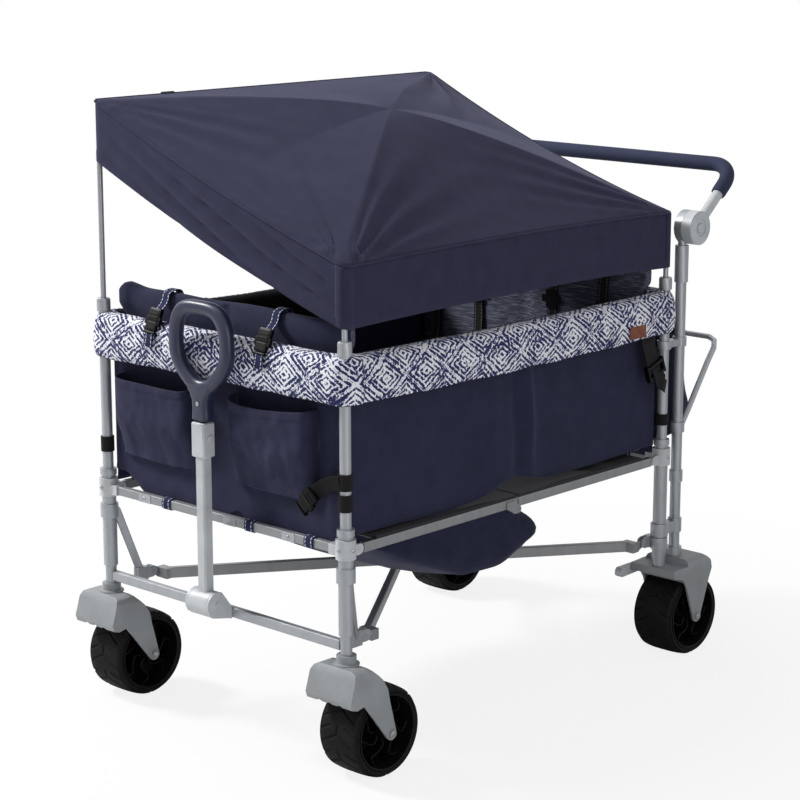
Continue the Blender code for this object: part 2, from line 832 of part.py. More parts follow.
def mid_hinge(end, side, z):
    """Lap plate beside the bar's middle end: outside with its pin at the front, inside at the rear."""
    face = BAR_W / 2 + 0.0004
    plate = 0.0026
    if end < 0:
        low, high = POST_X + face, POST_X + face + plate
        pad = (POST_X + BAR_W / 2 - 0.002, POST_X + face + 0.001)
    else:
        low, high = POST_X - face - plate, POST_X - face
        pad = (POST_X - face - 0.001, POST_X - BAR_W / 2 + 0.002)
    low, high = sorted((side * low, side * high))
    pad_low, pad_high = sorted((side * pad[0], side * pad[1]))
    lug = arc((0, z), -end * 0.0075, -90, 90, 4)
    lug += [(end * 0.010, FOLD_Z + 0.006), (end * 0.036, FOLD_Z + 0.006)]
    lug += [(end * 0.036, FOLD_Z - 0.008), (end * 0.012, z - 0.0075)]
    pieces = [outline_plate("lug", [lug], low, high)]
    pad_y = sorted((end * 0.014, end * 0.034))
    pieces.append(box("pad", (pad_low, pad_y[0], FOLD_Z - 0.006), (pad_high, pad_y[1], FOLD_Z + 0.004)))
    if end < 0:
        tips = sorted((side * (POST_X + face + plate + 0.0015), side * (POST_X - face - plate - 0.0015)))
        pieces.append(rod("mid_pin", PIN_R, (tips[0], 0, z), (tips[1], 0, z), sides=8))
    return pieces


def hub_line():
    """Y of the pin where the two halves of the lower brace meet."""
    return (BRACE_REAR_Y - BRACE_KNEE_Y) / 2


def brace_half(name, end, eye_x, eye_y):
    """V of two bars from the eyes at the posts to the central hub."""
    hub_y = hub_line()
    eye_z = BRACE_Z + EYE_RISE
    hub_z = BRACE_Z - HUB_PIN_DROP
    pieces = []
    for _, side in SIDES:
        x = side * eye_x
        centre = Vector((0, hub_y, BRACE_Z))
        eye = Vector((x, end * eye_y, BRACE_Z))
        along = (centre - eye).normalized()
        pieces.append(bar("brace_bar", eye + along * 0.030, centre - along * 0.030, BRACE_W, BRACE_H))
        low_x, high_x = sorted((x - side * 0.030, x + side * TONGUE / 2))
        low_y, high_y = sorted((end * (eye_y - 0.0165), end * (eye_y - 0.036)))
        pieces.append(box("eye_block", (low_x, low_y, BRACE_Z - 0.0105), (high_x, high_y, BRACE_Z + 0.0105)))
        outline = arc((end * eye_y, eye_z), end * 0.0085, -90, 90, 4)
        outline += [(end * (eye_y - 0.020), BRACE_Z + 0.010), (end * (eye_y - 0.020), BRACE_Z - 0.010)]
        plate = outline_plate("eye", [outline], x - TONGUE / 2, x + TONGUE / 2 - 0.0003)
        hole = rod("hole", PIN_R + RUNNING, (x - 0.02, end * eye_y, eye_z), (x + 0.02, end * eye_y, eye_z), 10)
        pieces.append(cut(plate, hole))
    near, deep = hub_y + end * 0.016, hub_y + end * 0.046
    low, high = sorted((near, deep))
    pieces.append(box("hub_block", (-0.026, low, BRACE_Z - 0.009), (0.026, high, BRACE_Z + 0.0105)))
    root = near + end * 0.004
    if end > 0:
        pieces += clevis_ears("ear", 0, hub_y, hub_z, root, -end, radius=0.0095, rise=0.002, cut_back=0.0085)
        pieces.append(clevis_pin("hub_pin", 0, hub_y, hub_z))
    else:
        tongue = arc((hub_y, hub_z), -end * 0.0095, -90, 90, 6)
        tongue += [(root, hub_z + 0.0115), (root, hub_z - 0.001)]
        plate = outline_plate("hub_tongue", [tongue], -TONGUE / 2, TONGUE / 2)
        slot = rod("slot", PIN_R + HUB_PLAY, (-0.02, hub_y, hub_z), (0.02, hub_y, hub_z), 12)
        pieces.append(cut(plate, slot))
    body = join(pieces[0], *pieces[1:])
    body.name = name
    return finish(body, "silver")


def push_post(name, side):
    """Thin post behind the rear post, its sleeves, the links that tie it, and the fixed hub half."""
    x = side * POST_X
    bottom = REAR_FORK_TOP + GAP
    sleeve_low, sleeve_high = 0.815, HUB_Z - HUB_R - 0.001
    tube_r, sleeve_r = PUSH_POST_R, PUSH_SLEEVE_R
    profile = [
        (0, HUB_Z - 0.010),
        (HUB_INNER - 0.0002, HUB_Z - 0.010),
        (HUB_INNER - 0.0002, sleeve_high),
        (sleeve_r, sleeve_high),
        (sleeve_r, sleeve_low),
        (tube_r, sleeve_low),
        (tube_r, 0.407),
        (sleeve_r, 0.407),
        (sleeve_r, 0.382),
        (tube_r, 0.382),
        (tube_r, bottom + 0.018),
        (sleeve_r + 0.002, bottom + 0.018),
        (sleeve_r + 0.002, bottom),
        (0, bottom),
    ]
    body = turned(name, profile, (x, PUSH_POST_Y, 0), sides=12)
    hub_low, hub_high = sorted((side * (POST_X - HUB_INNER), side * (POST_X - HUB_INNER + FIXED_HUB)))
    fixed = rod("fixed_hub", HUB_R, (hub_low, HUB_Y, HUB_Z), (hub_high, HUB_Y, HUB_Z), sides=20)
    links = []
    for z, height, post_r in ((0.688, 0.014, UPPER_R), (0.286, 0.024, LOWER_R)):
        low, high = z - height / 2, z + height / 2
        plate = box("link", (x - 0.010, POST_Y + 0.002, low), (x + 0.010, PUSH_POST_Y, high))
        ring = rod("ring", post_r + 0.0045, (x, POST_Y, low - 0.002), (x, POST_Y, high + 0.002))
        collar = rod("collar", tube_r + 0.0035, (x, PUSH_POST_Y, low - 0.003), (x, PUSH_POST_Y, high + 0.003))
        hole = rod("hole", post_r + SEAM, (x, POST_Y, z - 0.03), (x, POST_Y, z + 0.03), sides=14)
        links.append(cut(join(plate, ring, collar), hole))
    return finish(join(body, fixed, *links), "silver")


def rear_u_bar():
    """Bent bar behind the push posts, from its clamps round the back."""
    near = [(POST_X, y, z) for y, z in U_BAR_ROUTE]
    far = [(-POST_X, y, z) for y, z in reversed(U_BAR_ROUTE)]
    route = rounded(near + far, 0.024, steps=2, closed=False)
    wire = tube("rear_u_bar", route, U_BAR_R, sides=8)
    clamps = []
    for _, side in SIDES:
        x = side * POST_X
        z = U_BAR_ROUTE[0][1]
        clamps.append(
            turned(
                "clamp",
                [(PUSH_POST_R + 0.0040, z + 0.011), (PUSH_POST_R + 0.0040, z - 0.011)]
                + [(PUSH_POST_R + GAP, z - 0.011), (PUSH_POST_R + GAP, z + 0.011)],
                (x, PUSH_POST_Y, 0),
                sides=12,
            )
        )
    body = join(wire, *clamps)
    holes = [
        rod(
            "hole",
            PUSH_POST_R + GAP,
            (side * POST_X, PUSH_POST_Y, U_BAR_ROUTE[0][1] - 0.03),
            (side * POST_X, PUSH_POST_Y, U_BAR_ROUTE[0][1] + 0.03),
            sides=12,
        )
        for _, side in SIDES
    ]
    return finish(cut(body, *holes), "silver")


def handle_point(reach, x):
    """Point on the push handle's plane at a distance from the hub axis."""
    return (x, HUB_Y + reach * math.cos(HANDLE_ANGLE), HUB_Z + reach * math.sin(HANDLE_ANGLE))


def push_arm_x():
    return POST_X - HUB_INNER + FIXED_HUB + GAP + MOVING_HUB / 2


def push_route(start):
    x = push_arm_x()
    route = [handle_point(start, x), handle_point(HANDLE_REACH, x)]
    route += [handle_point(HANDLE_REACH, -x), handle_point(start, -x)]
    return rounded(route, HANDLE_BEND, steps=4, closed=False)


def push_handle():
    x = push_arm_x()
    body = tube("push_handle_tube", push_route(HUB_R - 0.012), ARM_R, sides=10)
    pieces = []
    for _, side in SIDES:
        inner = side * (x - MOVING_HUB / 2)
        outer = side * (x + MOVING_HUB / 2)
        low, high = sorted((inner, outer))
        pieces.append(rod("moving_hub", HUB_R, (low, HUB_Y, HUB_Z), (high, HUB_Y, HUB_Z), sides=20))
    body = join(body, *pieces)
    sockets = []
    for _, side in SIDES:
        face = side * (x + MOVING_HUB / 2 + 0.01)
        floor = side * (x + MOVING_HUB / 2 - 0.0115)
        sockets.append(rod("socket", BUTTON_R + RUNNING, (floor, HUB_Y, HUB_Z), (face, HUB_Y, HUB_Z), sides=16))
    return finish(cut(body, *sockets), "light_grey")


def hub_button(name, side):
    face = push_arm_x() + MOVING_HUB / 2
    profile = [
        (0, face + 0.0035),
        (BUTTON_R - 0.002, face + 0.0035),
        (BUTTON_R, face + 0.0015),
        (BUTTON_R, face - 0.0065),
        (0, face - 0.0065),
    ]
    if side < 0:
        profile = [(radius, -height) for radius, height in reversed(profile)]
    return finish(turned(name, profile, (0, HUB_Y, HUB_Z), axis="X", sides=12), "light_grey")


def push_grip():
    """Foam sleeve round the outer bow of the push handle."""
    sleeve = tube("push_grip", push_route(FOAM_START), FOAM_R, sides=10)
    core = tube("core", push_route(FOAM_START - 0.02), ARM_R + GAP, sides=10)
    return finish(cut(sleeve, core), "navy_plastic")


def pivot_block():
    """Bracket on the lower cross bar that holds the pull handle's barrel between two cheeks."""
    bar_face = -POST_Y - 0.007 - GAP
    y, z = -PULL_Y, PULL_Z
    inner = BARREL_HALF + SEAM
    root = bar_face - 0.001
    cheek = arc((y, z), 0.026, 90, 270, 7)
    cheek += [(root, z - 0.033), (root, z - 0.007), (y + 0.012, z + 0.0235)]
    plates = []
    for sign in (-1, 1):
        low, high = sorted((sign * inner, sign * (inner + CHEEK)))
        plates.append(outline_plate("cheek", [cheek], low, high))
    reach = inner + CHEEK
    base = box(
        "handle_pivot_block",
        (-reach - 0.001, bar_face - 0.003, z - 0.0335),
        (reach + 0.001, bar_face, z - 0.006),
    )
    pin = rod("pin", 0.006, (-reach - 0.002, y, z), (reach + 0.002, y, z), sides=12)
    return finish(join(base, *plates, pin), "light_grey")


def pull_tube():
    """Outer tube of the pull handle with its round housing and the lock collar, bored for the inner tube."""
    y, z = -PULL_Y, PULL_Z
    barrel = rod("handle_outer_tube", BARREL_R - 0.002, (-BARREL_HALF, y, z), (BARREL_HALF, y, z), sides=20)
    tube_body = box(
        "stem",
        (-PULL_TUBE_W / 2, y - PULL_TUBE_D / 2, z),
        (PULL_TUBE_W / 2, y + PULL_TUBE_D / 2, PULL_TUBE_TOP),
        bevel=0.003,
    )
    collar = box(
        "collar",
        (-PULL_COLLAR_W / 2, y - PULL_COLLAR_D / 2, PULL_COLLAR_BOTTOM),
        (PULL_COLLAR_W / 2, y + PULL_COLLAR_D / 2, PULL_COLLAR_TOP),
        bevel=0.003,
    )
    body = join(barrel, tube_body, collar)
    half = INNER_TUBE_W / 2 + SEAM
    bore = box("bore", (-half, y - half, INNER_TUBE_BOTTOM - 0.02), (half, y + half, PULL_COLLAR_TOP + 0.02))
    pin_hole = rod("pin_hole", 0.006 + RUNNING, (-0.05, y, z), (0.05, y, z), sides=12)
    button_z = PULL_COLLAR_TOP - 0.030
    seat = rod(
        "seat", 0.0062 + RUNNING, (PULL_COLLAR_W / 2 - 0.0065, y, button_z), (0.05, y, button_z), sides=12
    )
    return finish(cut(body, bore, pin_hole, seat), "light_grey")


def pull_button():
    z = PULL_COLLAR_TOP - 0.030
    start = PULL_COLLAR_W / 2 - 0.0028
    return finish(
        rod("handle_button", 0.0062, (start, -PULL_Y, z), (start + 0.0055, -PULL_Y, z), sides=12), "light_grey"
    )


def grip_outline(width, height, centre_z, narrow, points):
    """Egg-shaped loop, rounder at the top and drawn in towards the neck."""
    outline = []
    for k in range(points):
        a = 2 * math.pi * k / points
        c, s = math.cos(a), math.sin(a)
        reach = math.copysign(abs(c) ** 0.75, c) * width / 2
        waist = 1.0 - narrow * max(0.0, -s) ** 1.4
        outline.append((reach * waist, centre_z + math.copysign(abs(s) ** 0.85, s) * height / 2))
    return outline


def pull_grip():
    """D grip moulded on the inner tube of the pull handle."""
    y = -PULL_Y
    height = GRIP_TOP - GRIP_BOTTOM
    centre = (GRIP_TOP + GRIP_BOTTOM) / 2
    opening_centre = GRIP_TOP - 0.026 - GRIP_OPENING_H / 2
    outer = grip_outline(GRIP_W, height, centre, 0.55, 24)
    inner = grip_outline(GRIP_OPENING_W, GRIP_OPENING_H, opening_centre, 0.30, 18)
    ring = outline_plate(
        "handle_grip", [outer, inner], y - GRIP_DEPTH / 2, y + GRIP_DEPTH / 2, plane="XZ", edge=0.006
    )
    neck_low = PULL_COLLAR_TOP + SEAM
    neck = [(-0.021, neck_low), (0.021, neck_low), (0.019, 0.675), (0.030, 0.702), (-0.030, 0.702), (-0.019, 0.675)]
    neck_plate = outline_plate("neck", [neck], y - 0.013, y + 0.013, plane="XZ", edge=0.003)
    half = INNER_TUBE_W / 2
    inner_tube = box("inner_tube", (-half, y - half, INNER_TUBE_BOTTOM), (half, y + half, neck_low + 0.02))
    return finish(join(ring, neck_plate, inner_tube), "navy_plastic")


def rim_channel(name, low, high, open_ends):
    """Padded rim: a channel open below that hangs over the rail."""
    body = box(name, low, high, bevel=0.008)
    ends = 0.02 if open_ends else 0.0
    long_y = high[1] - low[1] > high[0] - low[0]
    grow_x = ends if not long_y else 0.0
    grow_y = ends if long_y else 0.0
    hollow = box(
        "hollow",
        (low[0] + PAD_WALL - grow_x * 2, low[1] + PAD_WALL - grow_y * 2, low[2] - 0.02),
        (high[0] - PAD_WALL + grow_x * 2, high[1] - PAD_WALL + grow_y * 2, high[2] - PAD_WALL),
    )
    return cut(body, hollow)


def side_pad(name, side):
    reach = POST_Y - PAD_OUT - SEAM
    low, high = sorted((side * (POST_X - PAD_OUT), side * (POST_X + PAD_OUT)))
    return finish(rim_channel(name, (low, -reach, RIM_BOTTOM), (high, reach, RIM_TOP), True), "print")


def end_pad(name, end):
    reach = POST_X + PAD_OUT
    low, high = sorted((end * (POST_Y - PAD_OUT), end * (POST_Y + PAD_OUT)))
    body = rim_channel(name, (-reach, low, RIM_BOTTOM), (reach, high, RIM_TOP), False)
    holes = [
        rod(
            "hole",
            UPPER_R + 0.0008,
            (side * POST_X, end * POST_Y, RIM_TOP - 0.03),
            (side * POST_X, end * POST_Y, RIM_TOP + 0.03),
            sides=14,
        )
        for _, side in SIDES
    ]
    return finish(cut(body, *holes), "print")


def side_panel(name, side):
    """Cloth wall under the rim, with a soft fold near mid length and a bowed hem."""
    reach = POST_Y - 0.028
    wall = POST_X - PAD_OUT + PAD_WALL + GAP + CLOTH / 2

    def place(u, v):
        y = -reach + 2 * reach * u
        hang = max(0.0, 1.0 - 1.5 * v)
        fold = 0.006 * hang * math.exp(-(((y + 0.02) / 0.035) ** 2))
        wave = 0.0025 * hang * math.sin(y * 22.0)
        hem = PANEL_BOTTOM + 0.008 * hang * math.cos(math.pi * y / reach / 2)
        return (side * (wall - fold + wave), y, hem + (PANEL_TOP - hem) * v)

    return finish(grid_sheet(name, 16, 3, place, CLOTH), "navy")


def end_panel(name, end):
    aside = POST_Y - END_PANEL_Y - CLOTH / 2
    reach = POST_X - math.sqrt((RING_R + GAP) ** 2 - aside**2)

    def place(u, v):
        x = -reach + 2 * reach * u
        return (x, end * END_PANEL_Y, PANEL_BOTTOM + (PANEL_TOP - PANEL_BOTTOM) * v)

    body = grid_sheet(name, 6, 2, place, CLOTH)
    wall = end * (END_PANEL_Y + CLOTH / 4)
    pieces = []
    if end < 0:
        for _, side in SIDES:
            low_x, high_x = sorted((side * POCKET_IN, side * POCKET_OUT))
            pieces.append(
                open_box(
                    "pocket",
                    (low_x, wall - POCKET_DEPTH, POCKET_BOTTOM),
                    (high_x, wall, POCKET_TOP),
                    0.003,
                    taper=0.006,
                    fixed_side=1,
                )
            )
    else:
        pieces.append(
            open_box(
                "pouch",
                (-POUCH_HALF, wall, POUCH_BOTTOM),
                (POUCH_HALF, wall + POUCH_DEPTH, POUCH_TOP),
                0.003,
                taper=0.010,
                fixed_side=-1,
            )
        )
    return finish(join(body, *pieces), "navy")


def seat(name, end):
    """Padded back, bench cushion and front skirt, sewn as one unit."""
    back = end * SEAT_BACK_Y
    face = end * (SEAT_BACK_Y - SEAT_BACK_THICK)
    front = end * (SEAT_BACK_Y - SEAT_BACK_THICK - BENCH_DEPTH)
    floor = FOLD_Z + BAR_H / 2 - 0.001 + BOARD + GAP
    low_y, high_y = sorted((back, face))
    body = pillow(name, (-SEAT_HALF, low_y, floor), (SEAT_HALF, high_y, SEAT_BACK_TOP), 4, (0.006, 0.008, 0.006))
    low_y, high_y = sorted((face + end * 0.012, front))
    bench = pillow(
        "bench", (-SEAT_HALF, low_y, BENCH_TOP - BENCH_THICK), (SEAT_HALF, high_y, BENCH_TOP), 4, (0.005, 0.006, 0.012)
    )
    skirt_y = sorted((front - end * -0.008, front - end * -0.016))
    skirt = box(
        "skirt", (-SEAT_HALF + 0.012, skirt_y[0], floor), (SEAT_HALF - 0.012, skirt_y[1], BENCH_TOP - 0.02)
    )
    return finish(join(body, bench, skirt), "navy")


def basket():
    top = FOLD_Z + BAR_H / 2 - 0.0025
    return finish(
        open_box(
            "basket",
            (-BASKET_HALF, BASKET_FRONT, top - BASKET_DEPTH - 0.022),
            (BASKET_HALF, BASKET_REAR, top),
            0.003,
            taper=0.035,
            sag=0.022,
            cuts=3,
        ),
        "navy",
    )


def canopy_slope():
    return (CANOPY_FAR_Z - CANOPY_NEAR_Z) / (2 * POST_X)


def canopy_height(x, y):
    """Middle of the cloth: a tilted plane with four panels rising to a soft crown."""
    rim = max(abs(x) / CANOPY_X, abs(y) / CANOPY_Y)
    ridge = 1.0 - math.sqrt(rim * rim + 0.02) + 0.01
    plane = CANOPY_FAR_Z - (x + POST_X) * canopy_slope()
    return plane + CANOPY_CROWN * max(0.0, ridge + 0.10 * math.sin(math.pi * min(rim, 1.0)))


def canopy():
    """Canopy cloth with its hanging valance."""
    shape = bmesh.new()
    bmesh.ops.create_grid(shape, x_segments=12, y_segments=12, size=1.0)
    for face in list(shape.faces):
        ridge = [corner for corner in face.verts if abs(abs(corner.co.x) - abs(corner.co.y)) < 0.01]
        if len(ridge) == 2:
            bmesh.utils.face_split(face, ridge[0], ridge[1])
    for corner in shape.verts:
        x, y = corner.co.x * CANOPY_X, corner.co.y * CANOPY_Y
        corner.co = Vector((x, y, canopy_height(x, y)))
    border = [edge for edge in shape.edges if edge.is_boundary]
    made = bmesh.ops.extrude_edge_only(shape, edges=border)["geom"]
    for corner in made:
        if isinstance(corner, bmesh.types.BMVert):
            corner.co.z -= VALANCE
            wave = 0.002 + 0.0015 * math.sin(corner.co.y * 26.0 + corner.co.x * 31.0)
            if abs(abs(corner.co.x) - CANOPY_X) < 0.001:
                corner.co.x += math.copysign(wave, corner.co.x)
            if abs(abs(corner.co.y) - CANOPY_Y) < 0.001:
                corner.co.y += math.copysign(wave, corner.co.y)
    sheet = from_bmesh("canopy", shape)
    solid = sheet.modifiers.new("cloth", "SOLIDIFY")
    solid.thickness = CANOPY_CLOTH
    solid.offset = 0.0
    return finish(flatten(sheet), "navy")


def pole_tip(side):
    """Top of a canopy pole, under the cloth and the corner cap."""
    plane = CANOPY_FAR_Z if side < 0 else CANOPY_NEAR_Z
    return plane - POLE_DROP


def canopy_ribs():
    """Two crossed spring rods under the cloth, with a cap over each pole."""
    rods = []
    for slant in (1, -1):
        route = []
        for k in range(9):
            t = -1.0 + k / 4
            x, y = POST_X * t, POST_Y * t * slant
            drop = RIB_DROP + 0.0012 * slant if abs(t) < 0.99 else 0.0053
            route.append((x, y, canopy_height(x, y) - drop))
        rods.append(tube(f"rib_{slant}", route, RIB_R, sides=6))
    caps = []
    slope = math.atan(canopy_slope())
    for _, side in SIDES:
        for end in (-1, 1):
            place = (side * POST_X, end * POST_Y, pole_tip(side) + 0.0044)
            cap = turned("cap", [(0, 0.0022), (0.0085, 0.0022), (0.0085, -0.0018), (0, -0.0018)], (0, 0, 0), sides=8)
            cap.matrix_world = Matrix.Translation(place) @ Matrix.Rotation(slope, 4, "Y")
            caps.append(flatten(cap))
    body = join(rods[0], rods[1], *caps)
    body.name = "canopy_ribs"
    return finish(body, "silver")


def canopy_pole(name, end, side):
    x, y = side * POST_X, end * POST_Y
    low = POLE_BORE_BOTTOM + 0.02
    return finish(rod(name, POLE_R, (x, y, low), (x, y, pole_tip(side))), "silver")


def build_frames():
    for end_name, end in ENDS:
        for side_name, side in SIDES:
            post(f"{end_name}_post_{side_name}", end, side)
            floor_collar(f"{end_name}_floor_collar_{side_name}", end, side)
        end_bar(f"{end_name}_end_bar", end)
        top_rail(f"{end_name}_top_rail", end)
    front_cross_bar()


def build_floor():
    front = half_floor("floor_front_half", -1)
    rear = half_floor("floor_rear_half", 1)
    ride("floor_rear", (0, FOLD_Y, FOLD_Z), [rear])
    ride("floor_front", (0, 0, FOLD_Z - BAR_H / 2 - MID_PIN_DROP), [front])
    brace_front = brace_half("brace_front", -1, BRACE_KNEE_X, BRACE_KNEE_Y)
    brace_rear = brace_half("brace_rear", 1, BRACE_REAR_X, BRACE_REAR_Y)
    ride("brace_front", (0, -BRACE_KNEE_Y, BRACE_Z), [brace_front])
    ride("brace_rear", (0, BRACE_REAR_Y, BRACE_Z), [brace_rear])


def build_wheels():
    axle_z = axle_height()
    for side_name, side in SIDES:
        x = side * POST_X
        caster = front_fork(f"front_fork_{side_name}", side)
        ride(f"caster_{side_name}", (x, -POST_Y, FRONT_FORK_TOP), [caster])
        front_y = -POST_Y + TRAIL
        wheel = [tyre(f"front_tyre_{side_name}", x, front_y), hub(f"front_hub_{side_name}", x, front_y)]
        ride(f"front_wheel_{side_name}", (x, front_y, axle_z), wheel)
        rear_fork(f"rear_fork_{side_name}", side)
        wheel = [tyre(f"rear_tyre_{side_name}", x, REAR_AXLE_Y), hub(f"rear_hub_{side_name}", x, REAR_AXLE_Y)]
        ride(f"rear_wheel_{side_name}", (x, REAR_AXLE_Y, axle_z), wheel)
        pedal = brake_pedal(f"brake_pedal_{side_name}", side)
        ride(f"brake_{side_name}", (x, REAR_AXLE_Y - 0.012, REAR_CUP_TOP - 0.018), [pedal])


def build_handles():
    pivot_block()
    outer = pull_tube()
    button = pull_button()
    grip = pull_grip()
    ride("pull_handle", (0, -PULL_Y, PULL_Z), [outer, button, grip])
    for side_name, side in SIDES:
        push_post(f"push_post_{side_name}", side)
    rear_u_bar()
    moving = [push_handle(), push_grip()]
    moving += [hub_button(f"hub_button_{side_name}", side) for side_name, side in SIDES]
    ride("push_handle", (0, HUB_Y, HUB_Z), moving)


def build_soft_goods():
    for side_name, side in SIDES:
        side_pad(f"rim_pad_{side_name}", side)
        side_panel(f"side_panel_{side_name}", side)
    for end_name, end in ENDS:
        end_pad(f"rim_pad_{end_name}", end)
        end_panel(f"{end_name}_panel", end)
        seat(f"{end_name}_seat", end)
    basket()


def build_canopy():
    top = canopy()
    ribs = canopy_ribs()
    ride("canopy", (-POST_X, 0, pole_tip(-1)), [top, ribs])
    for end_name, end in ENDS:
        for side_name, side in SIDES:
            canopy_pole(f"canopy_pole_{end_name}_{side_name}", end, side)


def centre_on_box():
    """Move everything along Y so that the origin lies under the middle of the bounding box."""
    bpy.context.view_layer.update()
    reach = []
    for thing in bpy.data.collections[PARTS].objects:
        if thing.type == "MESH":
            reach += [(thing.matrix_world @ corner.co).y for corner in thing.data.vertices]
    shift = Matrix.Translation((0, -(min(reach) + max(reach)) / 2, 0))
    for thing in bpy.data.collections[PARTS].objects:
        if thing.parent is None:
            thing.matrix_world = shift @ thing.matrix_world


def main():
    clear_scene()
    group = bpy.data.collections.new(PARTS)
    bpy.context.scene.collection.children.link(group)
    looks = (("silver", SILVER), ("light_grey", LIGHT_GREY), ("fork_grey", FORK_GREY), ("hub_black", HUB_BLACK))
    looks += (("navy", NAVY), ("navy_plastic", NAVY_PLASTIC), ("print", PRINT), ("black", BLACK))
    for name, look in looks:
        make_material(name, look)
    build_frames()
    build_floor()
    build_wheels()
    build_handles()
    build_soft_goods()
    build_canopy()
    centre_on_box()


main()
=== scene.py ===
"""Picture model of the stroller wagon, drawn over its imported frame.

Every piece is in metres. Lengths along Y are given from the middle of the cabin, which lies at MID_Y in the
frame. +X is the near long side with the low canopy edge, and -Y is the front end with the pull handle.
"""

from math import atan2, copysign, cos, exp, hypot, pi, radians, sin, sqrt

import bpy
import bmesh
from mathutils import Matrix, Vector, noise


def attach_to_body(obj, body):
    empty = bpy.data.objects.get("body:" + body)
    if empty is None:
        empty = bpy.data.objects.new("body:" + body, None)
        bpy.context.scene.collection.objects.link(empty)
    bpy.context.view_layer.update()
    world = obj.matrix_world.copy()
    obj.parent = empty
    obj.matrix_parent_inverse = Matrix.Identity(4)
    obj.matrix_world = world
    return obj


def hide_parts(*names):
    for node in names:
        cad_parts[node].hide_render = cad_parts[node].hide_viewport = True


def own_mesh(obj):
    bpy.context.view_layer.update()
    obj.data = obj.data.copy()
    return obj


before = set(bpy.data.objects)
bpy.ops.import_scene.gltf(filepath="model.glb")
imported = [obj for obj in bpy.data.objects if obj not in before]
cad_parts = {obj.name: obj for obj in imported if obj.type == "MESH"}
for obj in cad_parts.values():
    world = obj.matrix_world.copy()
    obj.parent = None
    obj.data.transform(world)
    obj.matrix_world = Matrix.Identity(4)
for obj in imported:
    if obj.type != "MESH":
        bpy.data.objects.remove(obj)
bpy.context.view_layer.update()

# Places that the frame fixes.
MID_Y = -0.0793
POST_X = 0.333
POST_Y = 0.480
AXLE_Z = 0.0892
FRONT_AXLE_Y = -0.420
REAR_AXLE_Y = 0.545
PULL_Y = -0.523
RAIL_TOP = 0.804
RAIL_BOTTOM = 0.718
PANEL_X = 0.3193
PANEL_Y = 0.470
PANEL_TOP = 0.768
PANEL_HALF_Y = 0.465
FLOOR_TOP = 0.4575
BOARD_THICK = 0.0063
END_BAR_Z = 0.444
BACK_Y = 0.4385
PUSH_HUB_Y = 0.552
PUSH_HUB_Z = 0.930

CANOPY_X = 0.3405
CANOPY_Y = 0.4875
CANOPY_FAR_Z = 1.2185
CANOPY_NEAR_Z = 0.9685
CANOPY_CROWN = 0.112
CANOPY_VALANCE = 0.113
CANOPY_CORNER = 0.012
CANOPY_ARC = pi * CANOPY_CORNER / 2
CANOPY_ROUND = 4 * (CANOPY_X + CANOPY_Y - 2 * CANOPY_CORNER + CANOPY_ARC)

TYRE_RADIUS = 0.0890
TYRE_HALF = 0.0490
RIM_RADIUS = 0.0735

# Ends along Y that a fold would draw towards, and the share of the length it would keep. attach takes them
# and folds nothing.
ALONG_Y = (0.0, 1.0, 0.0)
REAR_ANCHOR = (0.0, 0.480 + MID_Y, 0.6)
FRONT_ANCHOR = (0.0, -0.480 + MID_Y, 0.6)
CABIN_FOLD = (REAR_ANCHOR, 0.33)
CANOPY_FOLD = (REAR_ANCHOR, 0.356)
STRAP_FOLD = (REAR_ANCHOR, 0.5)

CLOTH = 0.0016
HEM = 0.0010
POCKET_GAP = 0.0022
GROOVE_DEPTH = 0.0022
SIDES = (("near", 1), ("far", -1))
ENDS = (("front", -1, FRONT_ANCHOR), ("rear", 1, REAR_ANCHOR))


# Small helpers.


def srgb(red, green, blue):
    """Linear colour from the 0 to 255 values a picture shows."""
    return tuple((c / 255.0) ** 2.2 for c in (red, green, blue)) + (1.0,)


def tint(colour, factor):
    """Colour made darker or lighter."""
    return tuple(min(1.0, factor * c) for c in colour[:3]) + (1.0,)


def mix(a, b, t):
    return a + (b - a) * t


def clamp(value):
    return min(1.0, max(0.0, value))


def smoothstep(low, high, value):
    t = clamp((value - low) / (high - low))
    return t * t * (3.0 - 2.0 * t)


def bump_at(value, centre, width):
    """Smooth hump of height 1 and half-width width."""
    return exp(-(((value - centre) / width) ** 2))


def wander(x, y, z, size):
    """Smooth noise from about -1 to 1, with features of that size in metres."""
    return noise.noise(Vector((x / size, y / size, z / size)))


def power(value, exponent):
    """Power of the size of a value, which keeps its sign."""
    return copysign(abs(value) ** exponent, value)


def circle(radius, a):
    return radius * cos(a), radius * sin(a)


def catmull(a, b, c, d, t):
    """Point of the Catmull-Rom curve from b to c."""
    return 0.5 * (2 * b + (c - a) * t + (2 * a - 5 * b + 4 * c - d) * t * t + (3 * b - a - 3 * c + d) * t**3)


def running_lengths(points):
    """Distance from the first point to each one along the line."""
    lengths = [0.0]
    for a, b in zip(points, points[1:]):
        lengths.append(lengths[-1] + (b - a).length)
    return lengths


# Objects and meshes.


def shade_smooth(mesh, angle=None):
    for polygon in mesh.polygons:
        polygon.use_smooth = True
    if angle is not None:
        mesh.set_sharp_from_angle(angle=radians(angle))


def thicken(obj, thickness):
    modifier = obj.modifiers.new("cloth", "SOLIDIFY")
    modifier.thickness = thickness
    modifier.offset = 0.0
    modifier.use_even_offset = False


def add_object(name, mesh, material, at=(0.0, 0.0, 0.0), smooth=None, thick=None):
    mesh.name = name
    obj = bpy.data.objects.new(name, mesh)
    bpy.context.scene.collection.objects.link(obj)
    obj.location = (at[0], at[1] + MID_Y, at[2])
    mesh.materials.append(material)
    shade_smooth(mesh, smooth)
    if thick:
        thicken(obj, thick)
    return obj


def attach(obj, slot, body, node=None, fold=None):
    if node:
        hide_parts(node)
    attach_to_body(obj, body)
    if fold:
        anchor, keep = fold
        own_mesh(obj)
        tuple(anchor)
    return obj


def piece(name, mesh, material, slot, body, node=None, fold=None, **looks):
    return attach(add_object(name, mesh, material, **looks), slot, body, node, fold)


